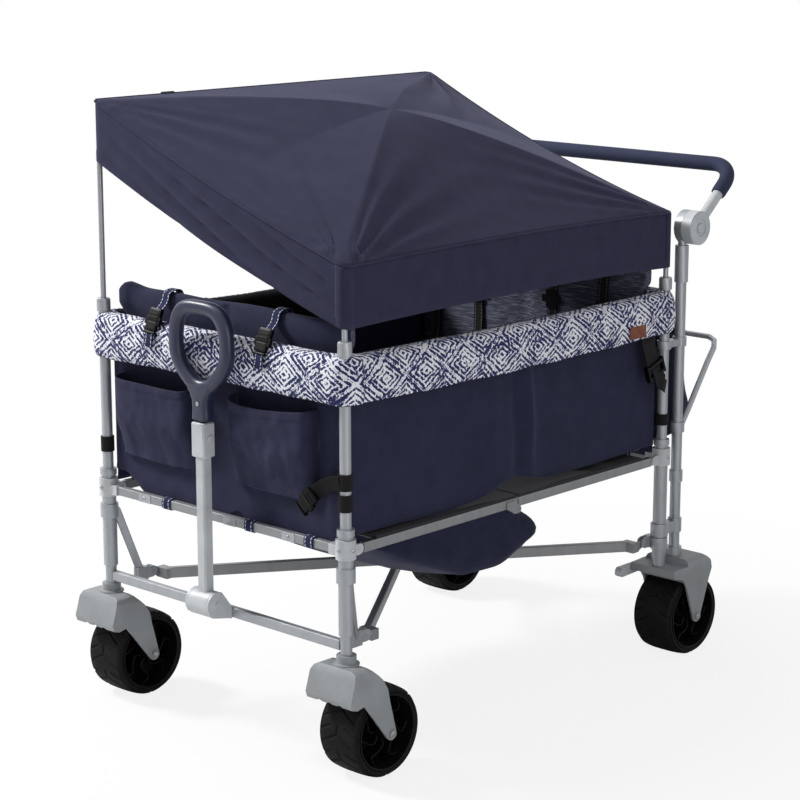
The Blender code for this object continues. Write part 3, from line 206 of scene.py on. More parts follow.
def ring_mesh(rings, rulers, closed=False, looped=False, caps=False):
    """Mesh through rings of points. closed joins each ring to itself, and looped the last ring to the first.
    rulers are the two lists of UV places, along the rings and round them."""
    lines, ring = len(rings), len(rings[0])
    cols = lines if looped else lines - 1
    rows = ring if closed else ring - 1
    along, around = rulers
    faces = []
    uvs = []
    for i in range(cols):
        for j in range(rows):
            corners = ((i, j), (i + 1, j), (i + 1, j + 1), (i, j + 1))
            faces.append([(a % lines) * ring + b % ring for a, b in corners])
            uvs.extend((along[min(a, len(along) - 1)], around[b]) for a, b in corners)
    if caps:
        for i, order in ((0, range(ring)), (lines - 1, reversed(range(ring)))):
            faces.append([i * ring + j for j in order])
            uvs.extend((along[i], 0.0) for _ in range(ring))
    mesh = bpy.data.meshes.new("rings")
    mesh.from_pydata([point for points in rings for point in points], [], faces)
    for loop, uv in zip(mesh.uv_layers.new(name="cloth").data, uvs):
        loop.uv = uv
    return mesh


def grid_mesh(cols, rows, place, size=(1.0, 1.0), closed=False, looped=False, caps=False):
    """Mesh of cols by rows faces with place(u, v) as its points. closed joins v = 1 to v = 0, and looped does
    the same along u. The UV map is u, v times size, so that it is in metres."""
    ring = rows if closed else rows + 1
    lines = cols if looped else cols + 1
    rings = [[place(i / cols, j / rows) for j in range(ring)] for i in range(lines)]
    rulers = [size[0] * i / cols for i in range(cols + 1)], [size[1] * j / rows for j in range(rows + 1)]
    return ring_mesh(rings, rulers, closed, looped, caps)


def outward(mesh, weld=None):
    """Turns the faces to look outwards, once points nearer than the weld are made one."""
    bm = bmesh.new()
    bm.from_mesh(mesh)
    if weld:
        bmesh.ops.remove_doubles(bm, verts=bm.verts, dist=weld)
    bmesh.ops.recalc_face_normals(bm, faces=bm.faces)
    bm.to_mesh(mesh)
    bm.free()
    return mesh


def join_meshes(*meshes):
    """One mesh from several, each with its own closed shell."""
    bm = bmesh.new()
    for mesh in meshes:
        bm.from_mesh(mesh)
        bpy.data.meshes.remove(mesh)
    joined = bpy.data.meshes.new("joined")
    bm.to_mesh(joined)
    bm.free()
    return joined


def moved(mesh, *steps):
    """The mesh after each of the steps, which are 4 by 4 matrices."""
    for step in steps:
        mesh.transform(step)
    return mesh


def facing(start, end):
    """Turn that brings one direction to another."""
    return Vector(start).rotation_difference(Vector(end)).to_matrix().to_4x4()


def smooth_path(points, steps=5):
    """Catmull-Rom curve through the points."""
    points = [Vector(p) for p in points]
    ends = [points[0] * 2 - points[1]] + points + [points[-1] * 2 - points[-2]]
    path = []
    for a, b, c, d in zip(ends, ends[1:], ends[2:], ends[3:]):
        path += [catmull(a, b, c, d, k / steps) for k in range(steps)]
    return path + [points[-1]]


def sweep(path, section, side=None, closed_path=False, taper=None):
    """Section, a list of (across, out) pairs, carried along the path. side fixes the across direction, as
    for a strap; without it the section turns as little as it can."""
    path = [Vector(p) for p in path]
    count = len(path)
    rings = []
    across = None
    for k, point in enumerate(path):
        before = path[k - 1] if (k or closed_path) else point
        after = path[(k + 1) % count] if (k < count - 1 or closed_path) else point
        tangent = (after - before).normalized()
        if side:
            across = Vector(side)
        elif across is None:
            across = tangent.cross(Vector((0.0, 0.0, 1.0)))
            if across.length < 0.1:
                across = tangent.cross(Vector((0.0, 1.0, 0.0)))
        across = (across - tangent * across.dot(tangent)).normalized()
        out = across.cross(tangent)
        scale = taper(k / max(1, count - 1)) if taper else 1.0
        rings.append([point + across * (a * scale) + out * (b * scale) for a, b in section])
    corners = [Vector(corner) for corner in section]
    rulers = running_lengths(path), running_lengths(corners + corners[:1])
    return outward(ring_mesh(rings, rulers, closed=True, looped=closed_path, caps=not closed_path))


def round_section(radius, sides):
    return [circle(radius, 2 * pi * k / sides) for k in range(sides)]


def flat_section(width, thick):
    """Strap section: flat, with soft edges, counted from the middle of one face."""
    w, t, e = width / 2, thick / 2, thick / 4
    below = [(-w + e, -t), (w - e, -t), (w, -t + e), (w, t - e)]
    return below + [(w - e, t), (-w + e, t), (-w, t - e), (-w, -t + e)]


def block_section(width, depth, radius, steps):
    """Rounded rectangle."""
    points = []
    for sx, sy, start in ((1, 1, 0), (-1, 1, 90), (-1, -1, 180), (1, -1, 270)):
        for k in range(steps + 1):
            x, y = circle(radius, radians(start + 90.0 * k / steps))
            points.append((sx * (width / 2 - radius) + x, sy * (depth / 2 - radius) + y))
    return points


def lathe(profile, steps=48, axis="X", closed=True):
    """Profile of (along, radius) pairs turned about the axis."""

    def place(u, v):
        along, radius = profile[round(v * (len(profile) - (not closed))) % len(profile)]
        c, s = circle(radius, 2 * pi * u)
        return (along, c, s) if axis == "X" else (c, s, along)

    return outward(grid_mesh(steps, len(profile) - (not closed), place, closed=closed, looped=True))


def rounded_box(low, high, radius, cuts, shape=None):
    """Box with rounded edges, in cuts faces along X, Y and Z. shape(point, unit) may move each point; unit
    runs from -1 to 1."""
    low, high = Vector(low), Vector(high)
    half = (high - low) / 2
    middle = (high + low) / 2
    bm = bmesh.new()
    seen = {}

    def vertex(*key):
        if key not in seen:
            unit = Vector([2.0 * k / cut - 1 for k, cut in zip(key, cuts)])
            point = Vector([u * h for u, h in zip(unit, half)])
            inner = Vector([max(-(h - radius), min(h - radius, p)) for p, h in zip(point, half)])
            gap = point - inner
            if gap.length > 1e-9:
                point = inner + gap.normalized() * max(abs(g) for g in gap)
            point = point + middle
            if shape:
                point = Vector(shape(point, unit))
            seen[key] = bm.verts.new(point)
        return seen[key]

    for axis in range(3):
        first, second = (k for k in range(3) if k != axis)
        for end in (0, cuts[axis]):
            for i in range(cuts[first]):
                for j in range(cuts[second]):
                    corners = []
                    for di, dj in ((0, 0), (1, 0), (1, 1), (0, 1)):
                        key = [end, end, end]
                        key[first] = i + di
                        key[second] = j + dj
                        corners.append(vertex(*key))
                    bm.faces.new(corners)
    bmesh.ops.recalc_face_normals(bm, faces=bm.faces)
    mesh = bpy.data.meshes.new("box")
    bm.to_mesh(mesh)
    bm.free()
    return mesh


def puff(obj, pinned, cap):
    """Blows a closed cushion up as cloth with air in it. The points that pinned picks are held still, and
    no point moves by more than the cap."""
    frames = 20
    group = obj.vertex_groups.new(name="seams")
    group.add([v.index for v in obj.data.vertices if pinned(v.co)], 1.0, "ADD")
    modifier = obj.modifiers.new("puff", "CLOTH")
    cloth = modifier.settings
    cloth.quality = 5
    cloth.mass = 0.15
    cloth.tension_stiffness = 12.0
    cloth.compression_stiffness = 12.0
    cloth.shear_stiffness = 6.0
    cloth.bending_stiffness = 0.4
    cloth.use_pressure = True
    cloth.uniform_pressure_force = 4.0
    cloth.vertex_group_mass = "seams"
    cloth.effector_weights.gravity = 0.0
    modifier.collision_settings.use_collision = False
    modifier.point_cache.frame_start = 1
    modifier.point_cache.frame_end = frames
    scene = bpy.context.scene
    for number in range(1, frames + 1):
        scene.frame_set(number)
    blown = obj.evaluated_get(bpy.context.evaluated_depsgraph_get()).to_mesh()
    places = [v.co.copy() for v in blown.vertices]
    for vertex, co in zip(obj.data.vertices, places):
        step = co - vertex.co
        vertex.co += step * (cap / max(cap, step.length))
    obj.modifiers.remove(modifier)
    obj.vertex_groups.remove(group)
    scene.frame_set(1)


# Materials.


class Value:
    """What a node gives out, which can be reckoned with as a number can."""

    def __init__(self, nodes, socket):
        self.nodes = nodes
        self.socket = socket

    def math(self, operation, *others):
        return self.nodes.math(operation, self, *others)

    def __add__(self, other):
        return self.math("ADD", other)

    def __sub__(self, other):
        return self.math("SUBTRACT", other)

    def __mul__(self, other):
        return self.math("MULTIPLY", other)

    def __truediv__(self, other):
        return self.math("DIVIDE", other)

    def __gt__(self, other):
        return self.math("GREATER_THAN", other)

    def __lt__(self, other):
        return self.math("LESS_THAN", other)

    def zigzag(self):
        """From 0 up to 1 and down again, once for each whole number."""
        return self.math("PINGPONG", 0.5) * 2.0


class Nodes:
    """One node tree, with short calls for the nodes that the materials and the sky need."""

    def __init__(self, tree):
        self.tree = tree

    def node(self, kind, **settings):
        node = self.tree.nodes.new("ShaderNode" + kind)
        for key, value in settings.items():
            setattr(node, key, value)
        return node

    def put(self, socket, value):
        if isinstance(value, Value):
            self.tree.links.new(value.socket, socket)
        else:
            socket.default_value = value

    def feed(self, node, *values, out=0):
        """Puts the values into the node's first inputs and gives what comes out."""
        for socket, value in zip(node.inputs, values):
            self.put(socket, value)
        return Value(self, node.outputs[out])

    def math(self, operation, *values):
        return self.feed(self.node("Math", operation=operation), *values)

    def place(self, source="Object", scale=(1.0, 1.0, 1.0)):
        mapping = self.node("Mapping")
        mapping.inputs["Scale"].default_value = scale
        return self.feed(mapping, Value(self, self.node("TexCoord").outputs[source]))

    def split(self, where):
        node = self.node("SeparateXYZ")
        self.put(node.inputs[0], where)
        return [Value(self, socket) for socket in node.outputs]

    def noise(self, scale, detail=3.0, where=None, rough=0.55):
        node = self.node("TexNoise")
        for key, value in (("Scale", scale), ("Detail", detail), ("Roughness", rough)):
            node.inputs[key].default_value = value
        return self.feed(node, where or self.place(), out="Fac")

    def glow(self, kind, colour, strength):
        return self.feed(self.node(kind), colour, strength)

    def mix_shaders(self, share, first, second, output):
        self.put(output.inputs[0], self.feed(self.node("MixShader"), share, first, second))


class Shader(Nodes):
    """One node material."""

    def __init__(self, name, colour, roughness, metallic=0.0, specular=0.5):
        self.material = bpy.data.materials.new(name)
        self.material.use_nodes = True
        self.material.diffuse_color = colour
        super().__init__(self.material.node_tree)
        self.base = self.tree.nodes["Principled BSDF"]
        self.surface("Base Color", colour)
        self.surface("Roughness", roughness)
        self.surface("Metallic", metallic)
        self.surface("Specular IOR Level", specular)

    def surface(self, key, value):
        self.put(self.base.inputs[key], value)

    def ramp(self, factor, *stops):
        node = self.node("ValToRGB")
        while len(node.color_ramp.elements) < len(stops):
            node.color_ramp.elements.new(0.5)
        for element, (position, colour) in zip(node.color_ramp.elements, stops):
            element.position = position
            element.color = colour
        return self.feed(node, factor)

    def blend(self, factor, a, b, mode="MIX"):
        node = self.node("Mix", data_type="RGBA", blend_type=mode)
        self.put(node.inputs["Factor"], factor)
        for socket, colour in zip([s for s in node.inputs if s.type == "RGBA"], (a, b)):
            self.put(socket, colour)
        return Value(self, next(s for s in node.outputs if s.type == "RGBA"))

    def roughness(self, factor, low, high):
        self.surface("Roughness", factor.math("MULTIPLY_ADD", high - low, low))

    def bump(self, height, strength, distance):
        node = self.node("Bump")
        for key, value in (("Strength", strength), ("Distance", distance), ("Height", height)):
            self.put(node.inputs[key], value)
        self.surface("Normal", Value(self, node.outputs["Normal"]))


def weave(shader, size, source="Object"):
    """Height of a plain weave with threads of that size, from 0 to 1."""
    axes = shader.split(shader.place(source))
    waves = [(axis * (pi / size)).math("SINE").math("ABSOLUTE") for axis in axes]
    return (waves[0].math("MAXIMUM", waves[1]) + waves[2]) * 0.5


def cloth_material(name, colour, lighter, sheen=0.12):
    """Plain woven polyester: fine threads, faint mottling and a soft sheen."""
    shader = Shader(name, colour, 0.86, specular=0.12)
    mottle = shader.noise(26.0, 4.0)
    fine = shader.noise(900.0, 2.0)
    base = shader.ramp(mottle, (0.30, colour), (0.72, lighter))
    speckle = shader.ramp(fine, (0.35, (0.80, 0.80, 0.82, 1.0)), (0.70, (1.12, 1.12, 1.14, 1.0)))
    shader.surface("Base Color", shader.blend(1.0, base, speckle, "MULTIPLY"))
    shader.roughness(fine, 0.74, 0.92)
    shader.bump(weave(shader, 0.0011) + mottle * 0.6, 0.35, 0.0006)
    shader.surface("Sheen Weight", sheen)
    shader.surface("Sheen Roughness", 0.5)
    shader.surface("Sheen Tint", (0.55, 0.57, 0.80, 1.0))
    return shader.material


def print_material():
    """Off-white cloth with broken navy lines in nested diamonds, as resist-dyed cloth has."""
    white = srgb(233, 233, 238)
    grey_blue = srgb(150, 158, 196)
    navy = srgb(38, 42, 84)
    period, rise = 0.108, 0.080
    shader = Shader("diamond_print", white, 0.85, specular=0.25)
    where = shader.place("UV")
    along, up, _ = shader.split(where)
    fine = shader.noise(380.0, 2.0, where)
    shift = (shader.noise(60.0, 2.0, where) - 0.5) * 0.0075 + (fine - 0.5) * 0.0045
    total = ((along + shift) / period).zigzag() + ((up - shift) / rise).zigzag()
    reach = total.math("MINIMUM", shader.math("SUBTRACT", 2.0, total))
    rings = reach.math("MULTIPLY_ADD", 3.9, 0.30).zigzag()
    strokes = shader.noise(1.0, 2.0, shader.place("UV", (170.0, 110.0, 1.0)))
    gaps = ((strokes - 0.465) * 6.0).math("MINIMUM", 0.08)
    broken = gaps + (shader.noise(130.0, 2.0, where) - 0.5)
    patches = (shader.noise(26.0, 1.0, where) - 0.5) * 1.3
    hem = (up < 0.009) * 0.16
    edges = (reach - 0.45) * 0.34
    line = rings + broken + (patches + hem) + edges
    shader.surface("Base Color", shader.ramp(line, (0.37, white), (0.46, grey_blue), (0.57, navy)))
    shader.roughness(fine, 0.78, 0.93)
    shader.bump(weave(shader, 0.0010, "UV") + fine * 0.5, 0.3, 0.0005)
    shader.surface("Sheen Weight", 0.08)
    return shader.material


def heather_material():
    """Grey-navy lining with short lighter and darker streaks along X."""
    dark = srgb(55, 57, 69)
    shader = Shader("heather_lining", dark, 0.9, specular=0.2)
    streak = shader.noise(1.0, 4.0, shader.place("Object", (22.0, 300.0, 420.0)), 0.7)
    fine = shader.noise(700.0, 2.0)
    tone = shader.ramp(streak, (0.36, dark), (0.52, srgb(85, 87, 103)), (0.66, srgb(134, 136, 152)))
    speckle = shader.ramp(fine, (0.35, (0.85, 0.85, 0.86, 1.0)), (0.7, (1.1, 1.1, 1.1, 1.0)))
    shader.surface("Base Color", shader.blend(1.0, tone, speckle, "MULTIPLY"))
    shader.bump(streak + fine, 0.35, 0.0006)
    return shader.material


def scuffs(shader):
    """Fine marks drawn out along Z."""
    return shader.noise(1.0, 5.0, shader.place("Object", (60.0, 60.0, 9.0)), 0.65)


def metal_material(name, colour, roughness, metallic):
    """Painted or anodised tube: faint orange peel, fine scuffs and slightly worn high spots."""
    shader = Shader(name, colour, roughness, metallic)
    scuff = scuffs(shader)
    tone = shader.ramp(scuff, (0.30, tint(colour, 0.90)), (0.50, colour), (0.78, tint(colour, 1.07)))
    shader.surface("Base Color", tone)
    shader.roughness(scuff, roughness - 0.07, roughness + 0.10)
    shader.bump(shader.noise(650.0, 2.0), 0.06, 0.0003)
    return shader.material


def board_material():
    """Grey side bars, and the dark covered board that lies on them."""
    bar, board = srgb(138, 140, 142), srgb(24, 24, 31)
    shader = Shader("grey_bar_dark_board", bar, 0.42, 0.35)
    covered = shader.split(shader.place())[2] > FLOOR_TOP - BOARD_THICK
    metal = shader.ramp(scuffs(shader), (0.30, srgb(131, 133, 135)), (0.50, bar), (0.78, srgb(143, 145, 147)))
    shader.surface("Base Color", shader.blend(covered, metal, board))
    shader.surface("Metallic", covered.math("MULTIPLY_ADD", -0.35, 0.35))
    shader.surface("Roughness", covered.math("MULTIPLY_ADD", 0.45, 0.42))
    shader.bump(weave(shader, 0.0012), 0.12, 0.0003)
    return shader.material


def plastic_material(name, colour, roughness, grain=480.0, depth=0.0003, specular=0.45):
    """Moulded plastic with a fine spark-eroded grain."""
    shader = Shader(name, colour, roughness, specular=specular)
    fine = shader.noise(grain, 3.0)
    broad = shader.noise(18.0, 3.0)
    shader.surface("Base Color", shader.ramp(broad, (0.30, tint(colour, 0.88)), (0.70, tint(colour, 1.08))))
    shader.roughness(fine, roughness - 0.06, roughness + 0.08)
    shader.bump(fine, 0.25, depth)
    return shader.material


def webbing_material(name, colour, stitch=None, width=0.025):
    """Ribbed webbing. With a stitch colour it has two dashed seams beside its edges."""
    shader = Shader(name, colour, 0.8, specular=0.25)
    along, around, _ = shader.split(shader.place("UV"))
    rib = (along * (pi / 0.0012)).math("SINE").math("ABSOLUTE")
    fine = shader.noise(800.0, 2.0)
    tone = shader.ramp(fine, (0.35, tint(colour, 0.7)), (0.68, tint(colour, 1.35)))
    if stitch:
        dash = (along / 0.0072).math("PINGPONG", 0.5) > 0.17
        across = around.math("PINGPONG", width)
        seam = (across > width * 0.12) * (across < width * 0.19)
        other = (across > width * 0.81) * (across < width * 0.88)
        tone = shader.blend(dash * seam.math("MAXIMUM", other), tone, stitch)
    shader.surface("Base Color", tone)
    shader.bump(rib + fine, 0.45, 0.0005)
    return shader.material


def leather_material():
    shader = Shader("brown_leather", srgb(122, 68, 45), 0.55)
    cells = shader.node("TexVoronoi")
    cells.inputs["Scale"].default_value = 700.0
    pores = shader.feed(cells, shader.place(), out="Distance")
    broad = shader.noise(70.0, 4.0)
    shader.surface("Base Color", shader.ramp(broad, (0.3, srgb(88, 44, 26)), (0.7, srgb(124, 66, 40))))
    shader.bump(pores + broad, 0.4, 0.0004)
    return shader.material


def rubber_material():
    """Matt tyre rubber with dust in its low places."""
    shader = Shader("tyre_rubber", srgb(20, 20, 21), 0.72, specular=0.14)
    broad = shader.noise(30.0, 4.0)
    fine = shader.noise(500.0, 3.0)
    shader.surface("Base Color", shader.ramp(broad, (0.32, srgb(16, 16, 17)), (0.75, srgb(28, 28, 29))))
    shader.roughness(fine, 0.60, 0.80)
    shader.bump(fine, 0.3, 0.0004)
    return shader.material


NAVY = cloth_material("navy_cloth", srgb(42, 43, 62), srgb(48, 49, 70))
CANOPY_NAVY = cloth_material("canopy_cloth", srgb(48, 48, 67), srgb(54, 54, 75), sheen=0.10)
# Black cloth: the strap keepers' own colour, and painted shade on the inner faces of the rim pads.
BLACK_CLOTH_AND_PAINTED_SHADE = cloth_material("black_cloth_and_painted_shade", srgb(15, 15, 19), srgb(22, 22, 27), sheen=0.0)
PRINT = print_material()
HEATHER = heather_material()
SILVER = metal_material("silver_tube", srgb(160, 163, 167), 0.36, 0.45)
BAR_GREY = metal_material("grey_bar", srgb(138, 140, 142), 0.42, 0.35)
BOARD = board_material()
STEEL = metal_material("bright_screw", srgb(165, 167, 170), 0.34, 0.8)
LIGHT_GREY = plastic_material("light_grey_plastic", srgb(188, 191, 194), 0.44)
FORK_GREY = plastic_material("fork_grey_plastic", srgb(142, 145, 147), 0.46)
BLACK_PLASTIC = plastic_material("black_plastic", srgb(9, 9, 10), 0.42, specular=0.13)
HUB_BLACK = plastic_material("hub_black_plastic", srgb(17, 17, 19), 0.48, specular=0.15)
NAVY_PLASTIC = plastic_material("navy_plastic", srgb(42, 46, 68), 0.36)
NAVY_FOAM = plastic_material("navy_foam", srgb(50, 54, 76), 0.82, 900.0, 0.0008, 0.25)
RUBBER = rubber_material()
BLACK_WEB = webbing_material("black_webbing", srgb(11, 11, 12))
STITCHED_WEB = webbing_material("stitched_black_webbing", srgb(11, 11, 12), srgb(105, 105, 112), 0.026)
NAVY_WEB = webbing_material("navy_webbing", srgb(30, 36, 70), srgb(222, 222, 230), 0.022)
LEATHER = leather_material()
SLOT_LOOKS = {
    "silver": SILVER,
    "light_grey": LIGHT_GREY,
    "fork_grey": FORK_GREY,
    "black": RUBBER,
    "hub_black": HUB_BLACK,
    "navy_plastic": NAVY_PLASTIC,
    "print": PRINT,
    "navy": NAVY,
}
NODE_LOOKS = dict.fromkeys(("front_end_bar", "rear_end_bar", "brace_front", "brace_rear"), BAR_GREY)
NODE_LOOKS.update(dict.fromkeys(("floor_front_half", "floor_rear_half"), BOARD))


# The frame's own pieces.


def dress_frame():
    """Materials, small edge radii and smooth shading for the CAD pieces that stay."""
    for name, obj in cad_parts.items():
        for slot in obj.material_slots:
            usual = SLOT_LOOKS.get(slot.material.name.split(".")[0], SILVER)
            slot.material = NODE_LOOKS.get(name, usual)
        normals = obj.data.attributes.get("custom_normal")
        if normals:
            obj.data.attributes.remove(normals)
        shade_smooth(obj.data)
        obj.modifiers.new("weld", "WELD").merge_threshold = 1e-5
        edges = obj.modifiers.new("edges", "BEVEL")
        edges.width = 0.0010 if "post" in name or "bar" in name else 0.0014
        edges.segments = 2
        edges.limit_method = "ANGLE"
        edges.angle_limit = radians(40)
        edges.harden_normals = False
        obj.modifiers.new("normals", "WEIGHTED_NORMAL")


# Canopy.

# Creases that radiate from the corners: side along X and Y, first and last angle, waves and depth.
CANOPY_CREASES = (
    (1, -1, 0.05, 0.62, 3.0, 0.0050),
    (1, -1, 0.90, 1.55, 4.0, 0.0042),
    (-1, -1, 0.8, 1.5, 3.0, 0.0030),
    (1, 1, 0.1, 0.6, 3.0, 0.0026),
    (-1, 1, 0.3, 1.2, 4.0, 0.0030),
)


def corner_fan(x, y, side_x, side_y, start, end, waves, depth):
    """Creases that radiate from a corner of the canopy between two angles, and fade away from it."""
    along = CANOPY_X - side_x * x
    across = CANOPY_Y - side_y * y
    reach = hypot(along, across)
    angle = atan2(along, across)
    inside = smoothstep(start, start + 0.12, angle) * (1.0 - smoothstep(end - 0.12, end, angle))
    fade = smoothstep(0.0, 0.05, reach) * exp(-((reach / 0.33) ** 2))
    turn = (angle - start) / (end - start)
    return depth * inside * fade * sin(2 * pi * waves * turn + 3.0 * wander(x, y, 1.0, 0.3))


def canopy_top(x, y):
    """Height of the cloth over its two crossed ribs, with sag and creases."""
    across = min(1.0, abs(x) / CANOPY_X)
    along = min(1.0, abs(y) / CANOPY_Y)
    rim = max(across, along)
    ridge = 1.0 - sqrt(rim * rim + 0.02) + 0.01
    height = mix(CANOPY_FAR_Z, CANOPY_NEAR_Z, (x + POST_X) / (2 * POST_X))
    height += CANOPY_CROWN * max(0.0, ridge + 0.10 * sin(pi * rim))
    between = 1.0 - (min(across, along) / rim if rim > 1e-6 else 1.0)
    height -= 0.011 * between * sin(pi * rim) * (1.0 if along > across else 0.7)
    height -= (0.014 if y < 0 else 0.020) * (1.0 - across * across) * along**4
    if x > 0:
        height += 0.008 * (1.0 - along * along) * across**4
    height += sum(corner_fan(x, y, *crease) for crease in CANOPY_CREASES)
    return height + 0.0016 * wander(x, y, 2.0, 0.12) * sin(pi * rim)


def canopy_rim(t):
    """Point and outward direction on the rim, with t from 0 to 1 round it. Corners are rounded."""
    cx, cy = CANOPY_X - CANOPY_CORNER, CANOPY_Y - CANOPY_CORNER
    s = (t % 1.0) * CANOPY_ROUND
    for number, (sx, sy) in enumerate(((cx, -cy), (cx, cy), (-cx, cy), (-cx, -cy))):
        run = min(s, 2 * (cx if number % 2 else cy))
        s -= run
        if s <= CANOPY_ARC:
            a = radians(90 * number)
            x, y = circle(CANOPY_CORNER, a + s / CANOPY_CORNER)
            return sx - sin(a) * run + x, sy + cos(a) * run + y, x / CANOPY_CORNER, y / CANOPY_CORNER
        s -= CANOPY_ARC
    return CANOPY_X, -cy, 1.0, 0.0


def valance_out(x, y, ny, drop):
    """How far the hanging edge stands out, at a distance below the rim from 0 to 1."""
    hang = sin(0.5 * pi * min(1.0, drop * 2.2)) * (1.0 - 0.5 * smoothstep(0.75, 1.0, drop))
    if ny < -0.7:
        slant = (x + CANOPY_X) / (2 * CANOPY_X)
        crease = pi * (2.7 * drop - 2.2 * slant + 0.25 * wander(slant, drop, 2.0, 0.4))
        folds = 0.0210 * (abs(sin(crease)) ** 0.5 - 0.62) * (0.25 + 0.75 * slant)
        folds *= sin(pi * clamp(slant)) ** 0.5
    else:
        folds = 0.0016 * sin(2 * pi * (y * 1.7 + 0.3)) + 0.0018 * wander(x, y, drop * 0.1, 0.12)
    corner = max(0.0, 1.0 - hypot(CANOPY_X - abs(x), CANOPY_Y - abs(y)) / 0.05)
    return hang * folds * (1.0 - corner)


def canopy_cloth_mesh():
    """Top and hanging edge as one continuous cloth: rings from the crown out to the rim, then down."""
    top_rings, down_rings = 44, 16
    hem = 0.87

    def place(u, v):
        x, y, nx, ny = canopy_rim(u)
        row = v * (top_rings + down_rings)
        if row <= top_rings:
            px, py = x * row / top_rings, y * row / top_rings
            return px, py, canopy_top(px, py)
        drop = (row - top_rings) / down_rings
        out = valance_out(x, y, ny, drop) + (0.0011 if drop > hem else 0.0)
        sway = 0.003 * wander(x, y, 3.0, 0.25) * drop
        return x + nx * out, y + ny * out, canopy_top(x, y) - CANOPY_VALANCE * drop + sway

    return outward(grid_mesh(320, top_rings + down_rings, place, looped=True), weld=1e-5)


def canopy_binding_mesh(middle):
    """Strip down a corner of the hanging edge, at that distance along the rim."""

    def place(u, v):
        x, y, nx, ny = canopy_rim((middle + mix(-0.019, 0.019, u)) / CANOPY_ROUND)
        out = 0.0022 - 0.0008 * (2.0 * u - 1.0) ** 4
        return x + nx * out, y + ny * out, canopy_top(x, y) - 0.001 - (CANOPY_VALANCE - 0.0015) * v

    return grid_mesh(14, 12, place, size=(0.038, 0.11))


def canopy_rib_mesh(side_y):
    lift = 0.0095 if side_y < 0 else 0.0035
    path = []
    for k in range(-20, 21):
        t = k / 20.0
        x, y = t * (CANOPY_X - 0.014), side_y * t * (CANOPY_Y - 0.014)
        path.append((x, y, canopy_top(x, y) - lift - 0.004 * abs(t)))
    return sweep(path, round_section(0.0034, 10))


def make_canopy():
    def part(name, mesh, material, slot, node=None, **looks):
        return piece(name, mesh, material, slot, "canopy_top", node, CANOPY_FOLD, **looks)

    cloth = part("canopy_cloth", canopy_cloth_mesh(), CANOPY_NAVY, "navy", "canopy", thick=0.0014)
    steps = 280
    edge = []
    for k in range(steps):
        x, y, nx, ny = canopy_rim(k / steps)
        edge.append((x + nx * 0.0010, y + ny * 0.0010, canopy_top(x, y) + 0.0004))
    cord = sweep(edge, round_section(0.0019, 8), closed_path=True)
    piping = part("canopy_piping", cord, CANOPY_NAVY, "navy")
    rear_corner = 2 * (CANOPY_Y - CANOPY_CORNER) + CANOPY_ARC / 2
    front_corner = CANOPY_ROUND - CANOPY_ARC / 2
    strips = join_meshes(canopy_binding_mesh(rear_corner), canopy_binding_mesh(front_corner))
    binding = part("canopy_corner_bindings", strips, CANOPY_NAVY, "navy", thick=0.0014)
    rods = join_meshes(canopy_rib_mesh(1), canopy_rib_mesh(-1))
    ribs = part("canopy_rib_tubes", rods, SILVER, "silver", "canopy_ribs", smooth=50)
    tab_y = -0.290
    rise = canopy_top(-CANOPY_X, tab_y) + 0.0015
    path = [(-0.338, tab_y, rise), (-0.346, tab_y, rise + 0.002)]
    path += [(-0.3495, tab_y, rise - 0.006), (-0.3495, tab_y, rise - 0.034)]
    tongue = sweep(smooth_path(path, 4), flat_section(0.030, CLOTH), side=ALONG_Y)
    tab = part("canopy_tab", tongue, BLACK_WEB, "black", smooth=40)


# Padded rim.

PAD_OUTER = 0.0232
PAD_INNER = 0.0128
# Offset from the rail's line and height round the pad's closed section, an upside-down U.
PAD_SECTION = [
    Vector(point)
    for point in (
        (PAD_OUTER - 0.001, RAIL_BOTTOM),
        (PAD_OUTER + 0.0035, RAIL_BOTTOM + 0.014),
        (PAD_OUTER + 0.0050, RAIL_BOTTOM + 0.038),
        (PAD_OUTER + 0.0025, RAIL_BOTTOM + 0.064),
        (PAD_OUTER - 0.0030, RAIL_TOP - 0.008),
        (PAD_OUTER - 0.0120, RAIL_TOP - 0.0005),
        (0.0, RAIL_TOP + 0.0015),
        (-PAD_OUTER + 0.0120, RAIL_TOP - 0.0005),
        (-PAD_OUTER + 0.0030, RAIL_TOP - 0.008),
        (-PAD_OUTER - 0.0015, RAIL_BOTTOM + 0.064),
        (-PAD_OUTER - 0.0030, RAIL_BOTTOM + 0.038),
        (-PAD_OUTER - 0.0015, RAIL_BOTTOM + 0.014),
        (-PAD_OUTER + 0.001, RAIL_BOTTOM),
        (-PAD_OUTER + 0.006, RAIL_BOTTOM - 0.0008),
        (-PAD_INNER - 0.001, RAIL_BOTTOM + 0.004),
        (-PAD_INNER, RAIL_BOTTOM + 0.030),
        (-PAD_INNER, RAIL_TOP - 0.020),
        (-PAD_INNER + 0.005, RAIL_TOP - 0.0095),
        (PAD_INNER - 0.005, RAIL_TOP - 0.0095),
        (PAD_INNER, RAIL_TOP - 0.020),
        (PAD_INNER, RAIL_BOTTOM + 0.030),
        (PAD_INNER + 0.001, RAIL_BOTTOM + 0.004),
        (PAD_OUTER - 0.006, RAIL_BOTTOM - 0.0008),
    )
]
PAD_STEPS = 46


def pad_section(t):
    count = len(PAD_SECTION)
    place = t * count
    k = int(place)
    return catmull(*(PAD_SECTION[(k + i) % count] for i in (-1, 0, 1, 2)), place - k)


